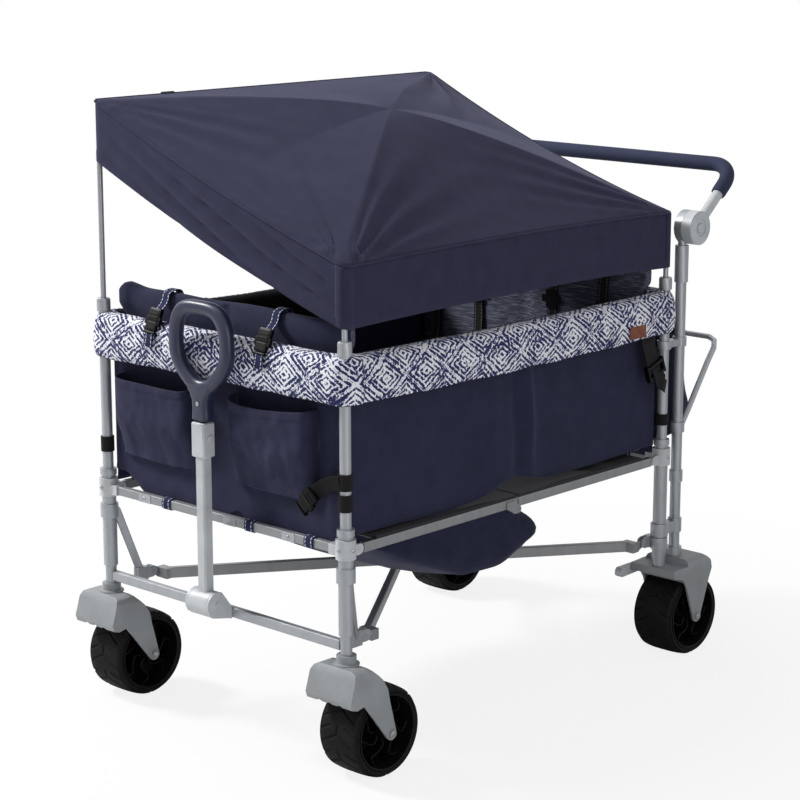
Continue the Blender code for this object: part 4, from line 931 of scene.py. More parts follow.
def end_stations(sign):
    """Functions of the offset that give x and y along an end pad, round both of its corners."""

    def station(kind, side, t):
        def at(offset):
            radius = max(0.003, 0.013 + offset)
            x, y = POST_X + offset, POST_Y + offset
            if kind == "stub":
                return side * x, sign * mix(0.4568, y - radius, t)
            if kind == "middle":
                return side * (x - radius), sign * y
            cx, cy = circle(radius, pi / 2 * t)
            return side * (x - radius + cx), sign * (y - radius + cy)

        return at

    return (
        [station("stub", -1, k / 3) for k in range(3)]
        + [station("corner", -1, k / 8) for k in range(8)]
        + [station("middle", mix(-1, 1, k / 110), 0.0) for k in range(111)]
        + [station("corner", 1, 1 - (k + 1) / 8) for k in range(8)]
        + [station("stub", 1, 1 - (k + 1) / 3) for k in range(3)]
    )


def side_stations(side):
    def station(y):
        return lambda offset: (side * (POST_X + offset), y)

    return [station(mix(-0.4552, 0.4552, k / 150)) for k in range(151)]


def pad_mesh(stations, seed, sag, lining):
    """Closed pad along its stations, which sags in its middle. Its UV map follows the cloth in metres. Its
    faces from the share lining round the section on take the second material: black cloth, painted shade."""
    count = len(stations)

    def ring(k):
        points = []
        for j in range(PAD_STEPS):
            offset, z = pad_section(j / PAD_STEPS)
            x, y = stations[k](offset)
            face = 1.0 if abs(offset) > 0.018 else 0.25
            x, y = stations[k](offset + copysign(0.0016 * face, offset) * wander(x, y, seed, 0.06))
            hem = 0.0030 * wander(x, y, seed + 5.0, 0.10) + 0.0016 * wander(x, y, seed + 9.0, 0.03)
            z += hem * smoothstep(RAIL_BOTTOM + 0.03, RAIL_BOTTOM, z)
            z += 0.0016 * wander(x, y, seed + 7.0, 0.08) * smoothstep(RAIL_TOP - 0.02, RAIL_TOP, z)
            points.append((x, y, z - sag * sin(pi * k / (count - 1))))
        return points

    outer_line = [Vector(station(0.024)) for station in stations]
    section = [pad_section(j / PAD_STEPS) for j in range(PAD_STEPS + 1)]
    rulers = running_lengths(outer_line), running_lengths(section)
    mesh = ring_mesh([ring(k) for k in range(count)], rulers, closed=True, caps=True)
    # Painted shade: the faces from the share lining round the section on, on the pad's inner side, take the
    # black cloth.
    for index, polygon in enumerate(mesh.polygons):
        polygon.material_index = 1 if index % PAD_STEPS >= lining * PAD_STEPS else 0
    return outward(mesh)


def make_rim_pads():
    # Shares round the section where the painted shade starts: the inner faces, and on the sides the inner
    # half of the top too.
    side_shade_start, end_shade_start = 0.245, 0.33
    jobs = (
        ("front", end_stations(-1), "front_frame", 0.0, end_shade_start),
        ("rear", end_stations(1), "rear_frame", 0.0, end_shade_start),
        ("near", side_stations(1), "rear_frame", 0.004, side_shade_start),
        ("far", side_stations(-1), "rear_frame", 0.015, side_shade_start),
    )
    for number, (side, stations, body, sag, lining) in enumerate(jobs):
        node = f"rim_pad_{side}"
        fold = CABIN_FOLD if lining == side_shade_start else None
        mesh = pad_mesh(stations, 3.0 * number, sag, lining)
        pad = add_object(f"{node}_cover", mesh, PRINT)
        # The second material is black cloth, painted shade on the pad's inner side.
        mesh.materials.append(BLACK_CLOTH_AND_PAINTED_SHADE)
        attach(pad, "print", body, node, fold)


# Panels, pockets and pouch.


def looseness(u, v, across, down):
    """How free a panel's cloth is: not at all along its top and sides, most near its bottom."""
    return sin(pi * clamp(u)) ** across * sin(pi * (down + (1.0 - down) * (1 - v)) / (1.0 + down)) ** 0.8


def side_panel_mesh(side):
    start = 0.2 if side > 0 else 0.7

    def place(u, v):
        y = mix(-PANEL_HALF_Y, PANEL_HALF_Y, u)
        slack = 0.0018 * sin(2 * pi * (u * 2.1 + start)) + 0.0012 * wander(u, start, 0.0, 0.11)
        rise = 0.024 * bump_at(y, 0.015, 0.075) + 0.008 * smoothstep(0.05, 0.20, y)
        z = mix(FLOOR_TOP + 0.0045 + slack + rise, PANEL_TOP, v)
        lean = (0.7 - z) / 0.2
        fold = 0.0100 * bump_at(y, 0.045 + 0.012 * lean, 0.014)
        fold -= 0.0080 * bump_at(y, 0.012 + 0.010 * lean, 0.016)
        fold += 0.0035 * bump_at(y, -0.060, 0.03) - 0.003 * bump_at(y, 0.10, 0.035)
        fold += 0.0040 * wander(y, z, 4.0 * side, 0.16) + 0.0016 * wander(y, z, 9.0 * side, 0.05)
        pulls = 0.003 * sin(14.0 * z + 22.0 * abs(y)) * smoothstep(0.30, 0.45, abs(y))
        hem = HEM if v < 0.045 else 0.0
        return side * (PANEL_X + 0.0015 + (fold + pulls) * looseness(u, v, 0.6, 0.15) + hem), y, z

    return grid_mesh(150, 40, place, size=(0.93, 0.30))


def make_side_panels():
    for name, side in SIDES:
        node = f"side_panel_{name}"
        mesh = side_panel_mesh(side)
        panel = piece(f"{node}_cloth", mesh, NAVY, "navy", "rear_frame", node, CABIN_FOLD, thick=CLOTH)


def end_panel_mesh(sign, seed):
    """Cloth of an end wall, which rounds the post at each side and dips between its lower fixings."""

    def place(u, v):
        x = mix(-0.3165, 0.3165, u)
        low = mix(0.486, 0.444, smoothstep(-0.292, -0.215, x)) + 0.013 * bump_at(x, 0.040, 0.022)
        z = mix(low + 0.003 * wander(x, seed, 0.0, 0.08), PANEL_TOP, v)
        waves = 0.0035 * wander(x, z, seed, 0.14) + 0.0014 * wander(x, z, seed + 3.0, 0.05)
        y = PANEL_Y + waves * looseness(u, v, 0.5, 0.1)
        y += 0.0030 * bump_at(abs(x), 0.29, 0.010) * sin(pi * v)
        return x, sign * (y + (HEM if v < 0.045 else 0.0)), z

    return grid_mesh(110, 44, place, size=(0.633, 0.30))


def pocket_mesh(x_in, x_out, low, high, depth, seed):
    """Patch pocket on the front wall that stands open at its top and is drawn in at its bottom seam."""

    def place(u, v):
        arch = sin(pi * u)
        x = mix(x_in, x_out, mix(u, 0.5 - 0.5 * cos(pi * u), 0.7))
        square = (1.0 - abs(2.0 * u - 1.0) ** 8.0) ** 0.5
        out = depth * min(1.0, 0.22 + 0.78 * smoothstep(0.0, 0.60, v) + 0.10 * arch * (1.0 - v))
        out += 0.0026 * wander(x, v * 0.2, seed, 0.05) + 0.0012 * wander(x, v * 0.15, seed + 3.0, 0.02)
        out += 0.0040 * wander(x, v * 0.3, seed + 6.0, 0.09) * sin(pi * v) + (0.0018 if v > 0.90 else 0.0)
        top = high - 0.011 * arch + 0.003 * sin(2 * pi * u + seed)
        return x, -(PANEL_Y + POCKET_GAP + out * square), mix(low - 0.004 * arch, top, v)

    return grid_mesh(72, 48, place, size=(abs(x_out - x_in), high - low))


def pouch_mesh(half, low, high, depth, seed):
    """Deep pouch on the rear wall, open at its top. The foot of its cloth turns under as a full bottom."""
    foot = 0.30

    def place(u, v):
        x = mix(-half, half, mix(u, 0.5 - 0.5 * cos(pi * u), 0.7))
        square = (1.0 - abs(2.0 * u - 1.0) ** 14.0) ** 0.5
        if v < foot:
            turn = pi / 2 * v / foot
            out = depth * 1.10 * sin(turn) + 0.003 * wander(x, v, seed, 0.06)
            z = low + 0.022 * (1.0 - cos(turn)) - 0.012 * sin(2.0 * turn)
        else:
            t = (v - foot) / (1.0 - foot)
            out = depth * (1.10 - 0.14 * smoothstep(0.0, 0.5, t)) + 0.006 * wander(x, t * 0.2, seed, 0.10)
            out += 0.004 * wander(x, t * 0.2, seed + 3.0, 0.05) + (0.0015 if t > 0.90 else 0.0)
            z = mix(low + 0.022, high - 0.008 * sin(pi * u), t)
        return x, PANEL_Y + POCKET_GAP + out * square, z

    return grid_mesh(72, 48, place, size=(2 * half, high - low))


def make_end_panels():
    for (end, sign, _), seed in zip(ENDS, (2.0, 8.0)):
        mesh = end_panel_mesh(sign, seed)
        node = f"{end}_panel"
        panel = piece(f"{node}_cloth", mesh, NAVY, "navy", f"{end}_frame", node, thick=CLOTH)
    near = pocket_mesh(0.040, 0.256, 0.523, 0.694, 0.034, 3.0)
    far = pocket_mesh(-0.284, -0.068, 0.527, 0.690, 0.034, 5.0)
    pouch = pouch_mesh(0.313, 0.486, 0.700, 0.148, 7.0)
    for name, mesh, end, flat in (
        ("front_pocket_near", near, 0, (0.29, 0.18)),
        ("front_pocket_far", far, 0, (0.29, 0.18)),
        ("rear_pouch", pouch, 1, (0.84, 0.34)),
    ):
        pocket = piece(name, mesh, NAVY, "navy", f"{ENDS[end][0]}_frame", thick=CLOTH)


# Seats.


def seat_back_mesh(sign):
    def shape(point, unit):
        x, _, z = point
        rise = (unit.z + 1.0) / 2.0
        crown = (1.0 - unit.x**6) * (1.0 - unit.z**6)
        half = max(0.004, 0.0095 + 0.0025 * crown - 0.004 * bump_at(x, 0.0, 0.006))
        y = sign * BACK_Y + unit.y * half + 0.0028 * wander(x, z, 2.0 * sign, 0.12)
        corner = smoothstep(0.93, 1.0, abs(unit.x)) * smoothstep(0.93, 1.0, rise)
        z += 0.006 * bump_at(abs(unit.x), 0.93, 0.10) * rise - 0.010 * corner
        z += 0.0030 * wander(x, 0.0, 5.0 * sign, 0.12) * rise
        free = smoothstep(0.795, 0.825, z)
        return x * (1.0 + 0.050 * free), y + sign * 0.006 * free, z

    low, high = (-0.303, sign * BACK_Y - 0.014, FLOOR_TOP + 0.001), (0.303, sign * BACK_Y + 0.014, 0.858)
    return rounded_box(low, high, 0.008, (80, 4, 60), shape)


def bench_mesh(sign):
    def shape(point, unit):
        x, y, z = point
        y -= copysign(0.005 * (1.0 - unit.x**2) * abs(unit.y) ** 6, unit.y)
        if unit.z > 0:
            z += 0.010 * (1.0 - unit.x**4) * (1.0 - unit.y**4) - 0.007 * bump_at(x, 0.0, 0.007)
            z += 0.002 * wander(x, y, 3.0 * sign, 0.07)
        return x, y, z

    low_y, high_y = sorted((sign * 0.2260, sign * 0.4225))
    return rounded_box((-0.292, low_y, 0.560), (0.292, high_y, 0.604), 0.014, (70, 26, 8), shape)


def skirt_mesh(sign):
    def place(u, v):
        x = mix(-0.290, 0.290, u)
        z = mix(FLOOR_TOP + 0.0010, 0.566, v)
        y = 0.2215 + 0.0028 * wander(x, z, 6.0 * sign, 0.09) + 0.0020 * sin(36.0 * x) * (1 - v)
        return x, sign * y, z

    return grid_mesh(70, 14, place, size=(0.58, 0.108))


def make_seats():
    """Puffed seat back and bench at each end, and the cloth that hangs in front of the bench."""
    for end, sign, anchor in ENDS:
        node, body, fold = f"{end}_seat", f"{end}_frame", (anchor, 0.55)
        back = add_object(f"{node}_back", seat_back_mesh(sign), HEATHER)
        back.data.materials.append(NAVY)
        for polygon in back.data.polygons:
            if polygon.normal.y * sign > 0.3 or polygon.center.z > 0.851:
                polygon.material_index = 1
        bench = add_object(f"{node}_bench", bench_mesh(sign), HEATHER)
        puff(back, lambda co: co.z < 0.50 or abs(co.x) > 0.297 or abs(co.x) < 0.003, 0.005)
        puff(bench, lambda co: co.z < 0.572 or abs(co.x) < 0.003, 0.008)
        attach(back, "navy", body, node)
        attach(bench, "navy", body, fold=fold)
        skirt = piece(f"{node}_skirt", skirt_mesh(sign), NAVY, "navy", body, fold=fold, thick=CLOTH)


# Basket under the floor.


def make_basket():
    """Slack cloth bag that hangs below the floor bars: rings from its top edge down, then inwards."""
    half_x, front_y, rear_y, top = 0.279, -0.424, 0.146, 0.4485
    down, inward = 16, 12
    middle = (front_y + rear_y) / 2
    reach = (rear_y - front_y) / 2

    def depth_at(y):
        return mix(0.030, 0.157, smoothstep(front_y, -0.07, y)) - 0.028 * smoothstep(0.02, 0.15, y)

    def place(u, v):
        cx, cy = (power(c, 0.22) for c in circle(1.0, 2 * pi * u + 0.001))
        row = v * (down + inward)
        if row > down:
            t = (row - down) / inward
            x = cx * half_x * (1.0 - t) * 0.95
            y = middle + cy * reach * (1.0 - t) * 0.97
            return x, y, top - depth_at(y) - 0.012 * sin(pi * 0.5 * t) + 0.006 * wander(x, y, 5.0, 0.15)
        t = row / down
        spread = 1.0 + 0.012 * sin(pi * t)
        pull = 0.018 * sin(pi * min(1.0, t * 1.15)) * (1.0 - 0.5 * abs(cy))
        x = cx * (half_x * spread - pull)
        y = middle + cy * reach * spread
        if cy > 0.8:
            y += 0.026 * (smoothstep(0.45, 0.85, t) - 0.9 * bump_at(t, 0.40, 0.2))
        bulge = 0.006 * wander(x, y, 2.0 + t * 0.1, 0.10) * sin(pi * t)
        x += cx * bulge
        y += cy * bulge
        z = top - depth_at(y) * t + 0.006 * wander(x, y, 5.0, 0.15) * t
        round_in = smoothstep(0.84, 1.0, t)
        return x * (1.0 - 0.05 * round_in), mix(y, middle + (y - middle) * 0.970, round_in), z

    mesh = outward(grid_mesh(168, down + inward, place, size=(1.7, 0.4), looped=True), weld=1e-5)
    bag = piece("basket_bag", mesh, NAVY, "navy", "rear_frame", "basket", CABIN_FOLD, thick=CLOTH)


# Wheels.


def gap_between(a, b):
    """Distance between two places on a round of length 1."""
    gap = abs(a % 1.0 - b % 1.0)
    return min(gap, 1.0 - gap)


def tread_cut(turn, across):
    """Depth share of the tread's grooves: Y shapes down the middle and slots in the shoulders."""
    q = abs(across)
    phase = (turn * 11.0) % 1.0
    cut = 1.0 - smoothstep(0.030, 0.062, gap_between(phase, 0.36 + 0.52 * q)) if q < 0.80 else 0.0
    if q < 0.055 and phase <= 0.36:
        cut = max(cut, 1.0 - smoothstep(0.03, 0.05, q))
    if q > 0.38:
        cut = max(cut, 1.0 - smoothstep(0.030, 0.062, gap_between(phase, 0.86 + 0.50 * q)))
    return cut


def tyre_mesh():
    """Tyre with its tread, which lies where the last number of a profile point is 1 or less."""
    profile = []
    for k in range(-15, 16):
        q = k / 15.0
        drop = 0.0035 * abs(q) ** 3 + 0.0070 * smoothstep(0.86, 1.0, abs(q))
        profile.append((q * (TYRE_HALF - 0.0006), TYRE_RADIUS - drop, q))
    edge = ((TYRE_HALF, 0.0815), (TYRE_HALF - 0.0006, 0.0770), (TYRE_HALF - 0.0030, RIM_RADIUS))
    profile += [(x, r, 2.0) for x, r in edge]
    profile += [(-x, r, 2.0) for x, r in reversed(edge)]

    def place(u, v):
        x, radius, q = profile[round(v * len(profile)) % len(profile)]
        groove = GROOVE_DEPTH * tread_cut(u, q) if abs(q) <= 1.0 else 0.0
        return x, *circle(radius - groove, 2 * pi * u)

    return outward(grid_mesh(396, len(profile), place, closed=True, looped=True))


def hub_mesh(mirror):
    """Deep black rim with a thin web, seven S-shaped ribs and a boss."""
    flange = [(0.0455, 0.0735), (0.0470, 0.0745), (0.0490, 0.0742), (0.0490, 0.0712), (0.0478, 0.0700)]
    well = [(0.0440, 0.0698), (0.0300, 0.0690)]
    outer = [(-x, r) for x, r in reversed(flange)] + flange
    inner = well + [(0.0, 0.0675)] + [(-x, r) for x, r in reversed(well)]
    end = [(0.0300, 0.0140), (0.0490, 0.0128), (0.0500, 0.0115), (0.0500, 0.0060)]
    boss = [(-x, r) for x, r in reversed(end)] + end
    web = [(-0.0016, 0.010), (-0.0016, 0.0685), (0.0016, 0.0685), (0.0016, 0.010)]
    meshes = [lathe(outer + inner, 96), lathe(web, 72), lathe(boss, 40)]
    spokes = 7
    for k in range(spokes):
        path = []
        for i in range(13):
            t = i / 12.0
            a = 2 * pi * k / spokes + mirror * 0.42 * sin(2 * pi * t) * (1 - 0.35 * t)
            path.append((0.0, *circle(mix(0.0115, 0.0690, t), a)))
        meshes.append(sweep(path, flat_section(0.066, 0.0026), side=(1, 0, 0)))
    return join_meshes(*meshes)


def axle_mesh():
    """Pin through the hub, and the bolt head at each of its ends."""
    face = 0.0504
    head = [(face, 0.0), (face, 0.0080), (0.0596, 0.0080), (0.0610, 0.0070), (0.0626, 0.0045), (0.0630, 0.0)]
    bolts = [lathe([(side * x, r) for x, r in head], 32, closed=False) for side in (-1, 1)]
    pin = lathe([(-face, 0.0), (-face, 0.0048), (face, 0.0048), (face, 0.0)], 20, closed=False)
    return join_meshes(*bolts, pin)


def make_wheels():
    tyre = tyre_mesh()
    for end, y in (("front", FRONT_AXLE_Y), ("rear", REAR_AXLE_Y)):
        for side, sx in SIDES:
            body = f"{end}_wheel_{side}"
            for name, mesh, material, slot, node, smooth in (
                ("tyre", tyre.copy(), RUBBER, "black", f"{end}_tyre_{side}", 30),
                ("hub", hub_mesh(sx), HUB_BLACK, "hub_black", f"{end}_hub_{side}", 40),
                ("axle", axle_mesh(), STEEL, "silver", None, 40),
            ):
                at = (sx * POST_X, y, AXLE_Z)
                piece(f"{body}_{name}", mesh, material, slot, body, node, at=at, smooth=smooth)


# Handles.


def loop_point(a, width, height, centre_z, narrow):
    """Egg-shaped loop, rounder at the top and drawn in towards the neck."""
    c, s = circle(1.0, a)
    waist = 1.0 - narrow * max(0.0, -s) ** 1.4
    reach = power(c, 0.60 if s > 0 else 0.80) * width / 2
    return Vector((reach * waist, 0.0, centre_z + power(s, 0.75) * height / 2))


def make_pull_grip():
    """D-shaped grip on its neck, and the inner tube below it."""
    top, low, opening = 0.872, 0.688, 0.125

    def ring_place(u, v):
        outer = loop_point(2 * pi * u, 0.170, top - low, (top + low) / 2, 0.55)
        inner = loop_point(2 * pi * u, 0.112, opening, top - 0.026 - opening / 2, 0.42)
        across, out = (power(c, 0.80) for c in circle(1.0, 2 * pi * v))
        point = (outer + inner) / 2 + (outer - inner) / 2 * across
        return point.x, PULL_Y + 0.0125 * out, point.z

    # Height and half width of the neck.
    neck = ((0.6445, 0.0205), (0.650, 0.0210), (0.665, 0.0198), (0.680, 0.0205))
    neck += ((0.692, 0.0250), (0.704, 0.0330), (0.712, 0.0360))
    sides = len(block_section(0.04, 0.026, 0.009, 5))

    def neck_place(u, v):
        k = u * (len(neck) - 1)
        i = min(int(k), len(neck) - 2)
        (low_z, low_half), (high_z, high_half) = neck[i : i + 2]
        half = mix(low_half, high_half, smoothstep(0, 1, k - i))
        x, y = block_section(2 * half, 0.0258, 0.009, 5)[round(v * sides) % sides]
        return x, PULL_Y + y, mix(low_z, high_z, k - i)

    ring = outward(grid_mesh(96, 28, ring_place, closed=True, looped=True))
    stem = outward(grid_mesh(36, sides, neck_place, closed=True, caps=True))
    tube = sweep([(0, PULL_Y, z) for z in (0.340, 0.500, 0.650)], block_section(0.0152, 0.0152, 0.003, 3))
    moulding = join_meshes(ring, stem, tube)
    piece("pull_grip_moulding", moulding, NAVY_PLASTIC, "navy_plastic", "pull_grip", "handle_grip", smooth=60)
    screw_piece("pull_grip_screw", (0.0, PULL_Y - 0.0132, 0.676), (0, -1, 0), 0.0042, "pull_grip")


def screw_piece(name, at, out, radius, body):
    """Domed screw head with a recess, which faces along out."""
    shares = ((-0.0012, 0.0), (-0.0012, 1.0), (0.0, 1.0), (0.0006, 1.0), (0.0012, 0.82), (0.0016, 0.5))
    recess = ((0.0017, 0.42), (0.0008, 0.30), (0.0008, 0.0))
    head = lathe([(x, share * radius) for x, share in shares + recess], 20, axis="Z", closed=False)
    mesh = outward(moved(head, facing((0, 0, 1), out), Matrix.Translation(at)))
    piece(name, mesh, STEEL, "silver", body, smooth=40)


def make_push_foam():
    """Foam sleeve on the push handle, from one arm round both bends to the other, and a ring on each hub."""
    angle = radians(40)
    reach, bend, arm_x, start = 0.183, 0.055, 0.3543, 0.100

    def at(x, distance):
        return x, PUSH_HUB_Y + distance * cos(angle), PUSH_HUB_Z + distance * sin(angle)

    half = [at(arm_x, mix(start, reach - bend, k / 4.0)) for k in range(4)]
    for k in range(13):
        x, out = circle(bend, pi / 2 * k / 12)
        half.append(at(arm_x - bend + x, reach - bend + out))
    across = [at(mix(arm_x - bend, bend - arm_x, k / 40.0), reach) for k in range(1, 40)]
    path = half + across + [(-x, y, z) for x, y, z in reversed(half)]

    def ends(t):
        return 0.955 + 0.045 * smoothstep(0.0, 1.0, min(t, 1.0 - t) * (len(path) - 1))

    foam = sweep(path, round_section(0.0157, 24), taper=ends)
    piece("push_foam", foam, NAVY_FOAM, "navy_plastic", "push_handle", "push_grip", smooth=50)
    for side, sx in SIDES:
        profile = [(0.0, 0.0185), (0.0, 0.0325), (0.0008, 0.0340), (0.0016, 0.0330), (0.0016, 0.0185)]
        ring = outward(moved(lathe(profile), Matrix.Scale(sx, 4, (1, 0, 0))))
        place = (sx * 0.3660, PUSH_HUB_Y, PUSH_HUB_Z)
        piece(f"push_hub_ring_{side}", ring, LIGHT_GREY, "light_grey", "push_handle", at=place, smooth=40)


# Straps and small parts.


def strap(name, points, width, material, body, side, thick=0.0018, fold=None):
    mesh = sweep(smooth_path(points), flat_section(width, thick), side=side)
    piece(name, mesh, material, "black", body, fold=fold, smooth=40)


def boxes(*jobs):
    """One mesh of rounded boxes, each with its low and high corner, its radius and its cuts."""
    return join_meshes(*(rounded_box(*job) for job in jobs))


def buckle(name, at, body, size, turn, lean=0.0):
    """Side-release buckle: a sleeve, a pronged body with a wing at each side, a ladder bar and two ribs."""
    w, h, t = size
    mesh = boxes(
        ((-w / 2, -t / 2, -h * 0.05), (w / 2, t / 2, h * 0.5), 0.003, (8, 4, 8)),
        ((-w * 0.44, -t * 0.42, -h * 0.38), (w * 0.44, t * 0.42, 0.0), 0.002, (8, 4, 8)),
        ((-w * 0.60, -t * 0.34, -h * 0.16), (-w * 0.44, t * 0.34, h * 0.16), 0.0012, (4, 4, 6)),
        ((w * 0.44, -t * 0.34, -h * 0.16), (w * 0.60, t * 0.34, h * 0.16), 0.0012, (4, 4, 6)),
        ((-w / 2, -t * 0.5, -h * 0.50), (w / 2, t * 0.5, -h * 0.40), 0.0016, (8, 4, 4)),
        ((-w * 0.36, -t * 0.60, h * 0.10), (w * 0.36, -t * 0.40, h * 0.16), 0.0006, (6, 2, 2)),
        ((-w * 0.36, -t * 0.60, h * 0.24), (w * 0.36, -t * 0.40, h * 0.30), 0.0006, (6, 2, 2)),
    )
    moved(mesh, Matrix.Rotation(lean, 4, "X"), Matrix.Rotation(turn, 4, "Y"), Matrix.Translation(at))
    piece(name, mesh, BLACK_PLASTIC, "black", body, smooth=40)


def closed_band(path, width, thick, side):
    return sweep(path, flat_section(width, thick), side=side, closed_path=True)


def make_front_straps():
    """Two navy straps that come over the front seat back and clip to the front rim."""
    for name, x in (("far", -0.165), ("near", 0.140)):
        upper = (
            (x, -0.4180, 0.7600),
            (x, -0.4220, 0.8200),
            (x, -0.4285, 0.8575),
            (x, -0.4445, 0.8640),
            (x, -0.4610, 0.8585),
            (x, -0.4655, 0.8470),
            (x + 0.001, -0.4720, 0.8380),
            (x + 0.002, -0.4830, 0.8300),
        )
        lower = (
            (x + 0.003, -0.5100, 0.7900),
            (x + 0.003, -0.5125, 0.7800),
            (x + 0.002, -0.5130, 0.7700),
            (x - 0.002, -0.5110, 0.7620),
            (x - 0.004, -0.5075, 0.7590),
        )
        strap(f"front_strap_{name}", upper, 0.022, NAVY_WEB, "front_frame", (1, 0, 0))
        place = (x + 0.002, -0.4985, 0.8090)
        buckle(f"front_buckle_{name}", place, "front_frame", (0.033, 0.052, 0.010), turn=0.05, lean=-0.42)
        strap(f"front_strap_end_{name}", lower, 0.022, NAVY_WEB, "front_frame", (1, 0, 0))


def make_post_bands():
    """Webbing bands round the posts, and the tether that hangs from the near front one."""
    steps = 40
    for name, sx, sy, z, height, body in (
        ("far", -1, -1, 0.536, 0.031, "front_frame"),
        ("near_upper", 1, -1, 0.573, 0.031, "front_frame"),
        ("near_lower", 1, -1, 0.534, 0.032, "front_frame"),
        ("rear_near", 1, 1, 0.528, 0.024, "rear_frame"),
        ("rear_far", -1, 1, 0.528, 0.024, "rear_frame"),
    ):
        circuit = [circle(0.0125, 2 * pi * k / steps) for k in range(steps)]
        path = [(sx * POST_X + x, sy * POST_Y + y, z) for x, y in circuit]
        mesh = closed_band(path, height, 0.0022, (0, 0, 1))
        piece(f"post_band_{name}", mesh, BLACK_WEB, "black", body, smooth=40)
    tail = (
        (POST_X - 0.002, -POST_Y - 0.0135, 0.572),
        (POST_X - 0.020, -POST_Y - 0.0150, 0.569),
        (POST_X - 0.042, -POST_Y - 0.0180, 0.558),
        (POST_X - 0.060, -POST_Y - 0.0215, 0.544),
    )
    strap("front_tether", tail, 0.028, BLACK_WEB, "front_frame", (0.45, 0.0, 1.0), thick=0.0022)
    place = (POST_X - 0.073, -POST_Y - 0.0250, 0.529)
    buckle("front_tether_buckle", place, "front_frame", (0.032, 0.050, 0.011), turn=radians(42))


def make_side_strap():
    """Black adjuster strap that hangs from the near rim beside the rear post."""
    x, y = 0.3475, 0.405
    upper = (
        (x - 0.006, y, 0.722),
        (x - 0.001, y + 0.002, 0.700),
        (x + 0.003, y + 0.010, 0.672),
        (x + 0.004, y + 0.018, 0.650),
    )
    tail = (
        (x + 0.006, y + 0.020, 0.650),
        (x + 0.010, y + 0.026, 0.632),
        (x + 0.010, y + 0.038, 0.616),
        (x + 0.012, y + 0.048, 0.606),
    )
    strap("adjuster_strap", upper, 0.044, BLACK_WEB, "rear_frame", (0, 1, -0.3), 0.0022, STRAP_FOLD)
    lock = boxes(
        ((-0.006, -0.026, 0.008), (0.006, 0.026, 0.016), 0.002, (4, 8, 4)),
        ((-0.006, -0.026, -0.016), (0.006, 0.026, -0.008), 0.002, (4, 8, 4)),
        ((-0.006, -0.029, -0.018), (0.006, -0.022, 0.018), 0.002, (4, 4, 8)),
        ((-0.006, 0.022, -0.018), (0.006, 0.029, 0.018), 0.002, (4, 4, 8)),
    )
    moved(lock, Matrix.Rotation(0.35, 4, "X"), Matrix.Translation((x + 0.005, y + 0.019, 0.646)))
    piece("adjuster_lock", lock, BLACK_PLASTIC, "black", "rear_frame", fold=STRAP_FOLD, smooth=40)
    strap("adjuster_tail", tail, 0.034, BLACK_WEB, "rear_frame", (0, 1, -0.4), 0.0022, STRAP_FOLD)


def make_tag():
    """Plain leather tag sewn to the near rim."""

    def shape(point, unit):
        x, y, z = point
        return x + 0.0008 * unit.y**2 + 0.0006 * wander(y, z, 0.0, 0.02), y, z

    mesh = rounded_box((-0.0009, -0.027, -0.0130), (0.0009, 0.027, 0.0130), 0.0008, (2, 24, 12), shape)
    place = (0.3622, 0.349, 0.736)
    piece("leather_tag", mesh, LEATHER, "print", "rear_frame", fold=STRAP_FOLD, at=place, smooth=50)


def make_harnesses():
    """Four shoulder straps on each seat back, each with a cross-shaped keeper."""
    face = 0.4225
    for end, sign, _ in ENDS:
        for k, place in enumerate((-0.255, -0.130, 0.080, 0.215)):
            x = place * sign
            points = (
                (x, sign * (face + 0.006), 0.854),
                (x, sign * (face + 0.0010), 0.822),
                (x, sign * (face - 0.0040), 0.760),
                (x + 0.002, sign * (face - 0.0050), 0.700),
                (x + 0.003, sign * (face - 0.0100), 0.650),
                (x + 0.004, sign * (face - 0.0250), 0.622),
            )
            strap(f"{end}_shoulder_strap_{k}", points, 0.026, STITCHED_WEB, f"{end}_frame", (1, 0, 0), 0.0030)
            cross = boxes(
                ((-0.026, -0.0012, -0.008), (0.026, 0.0012, 0.008), 0.001, (10, 2, 4)),
                ((-0.015, -0.0014, -0.020), (0.015, 0.0014, 0.020), 0.001, (8, 2, 8)),
            )
            at = (x, sign * (face - 0.0068), 0.752 if k % 2 else 0.764)
            piece(f"{end}_strap_keeper_{k}", cross, BLACK_CLOTH_AND_PAINTED_SHADE, "black", f"{end}_frame", at=at, smooth=40)


def make_bar_loops():
    """Navy loops that tie the end panels to their lower bars, and small fixing plates."""
    steps = 28
    for end, sign, _ in ENDS:
        body = f"{end}_frame"
        for k, x in enumerate((-0.150, 0.085, 0.245)):
            path = []
            for i in range(steps):
                out, up = (power(c, 0.6) for c in circle(1.0, 2 * pi * i / steps))
                path.append((x, sign * POST_Y + out * 0.0088, END_BAR_Z + up * 0.0108))
            mesh = closed_band(path, 0.024, 0.0018, (1, 0, 0))
            piece(f"{end}_bar_loop_{k}", mesh, NAVY_WEB, "navy", body, smooth=40)
        y = sign * (POST_Y + 0.0080)
        low_y, high_y = sorted((y, y - sign * 0.0014))
        for k, x in enumerate((-0.215, 0.030, 0.190)):
            low, high = (x - 0.017, low_y, 0.4350), (x + 0.017, high_y + 0.0002, 0.4535)
            plate = rounded_box(low, high, 0.0007, (6, 2, 6))
            piece(f"{end}_bar_plate_{k}", plate, SILVER, "silver", body, smooth=40)
            at = (x, y + sign * 0.0004, END_BAR_Z)
            screw_piece(f"{end}_bar_screw_{k}", at, (0, sign, 0), 0.0032, body)


def make_frame_screws():
    """Screws on the floor collars."""
    z, radius = 0.4475, 0.0040
    for side, sx in SIDES:
        front = (sx * (POST_X + 0.0002), -POST_Y - 0.0198, z)
        screw_piece(f"front_collar_screw_{side}", front, (0, -1, 0), radius, "front_frame")
        for end, sign, _ in ENDS:
            at = (sx * (POST_X + 0.0196), sign * POST_Y, z)
            screw_piece(f"{end}_collar_side_screw_{side}", at, (sx, 0, 0), radius, f"{end}_frame")


# Light, floor and camera.


def place_object(name, data, at):
    obj = bpy.data.objects.new(name, data)
    bpy.context.scene.collection.objects.link(obj)
    obj.location = at
    return obj


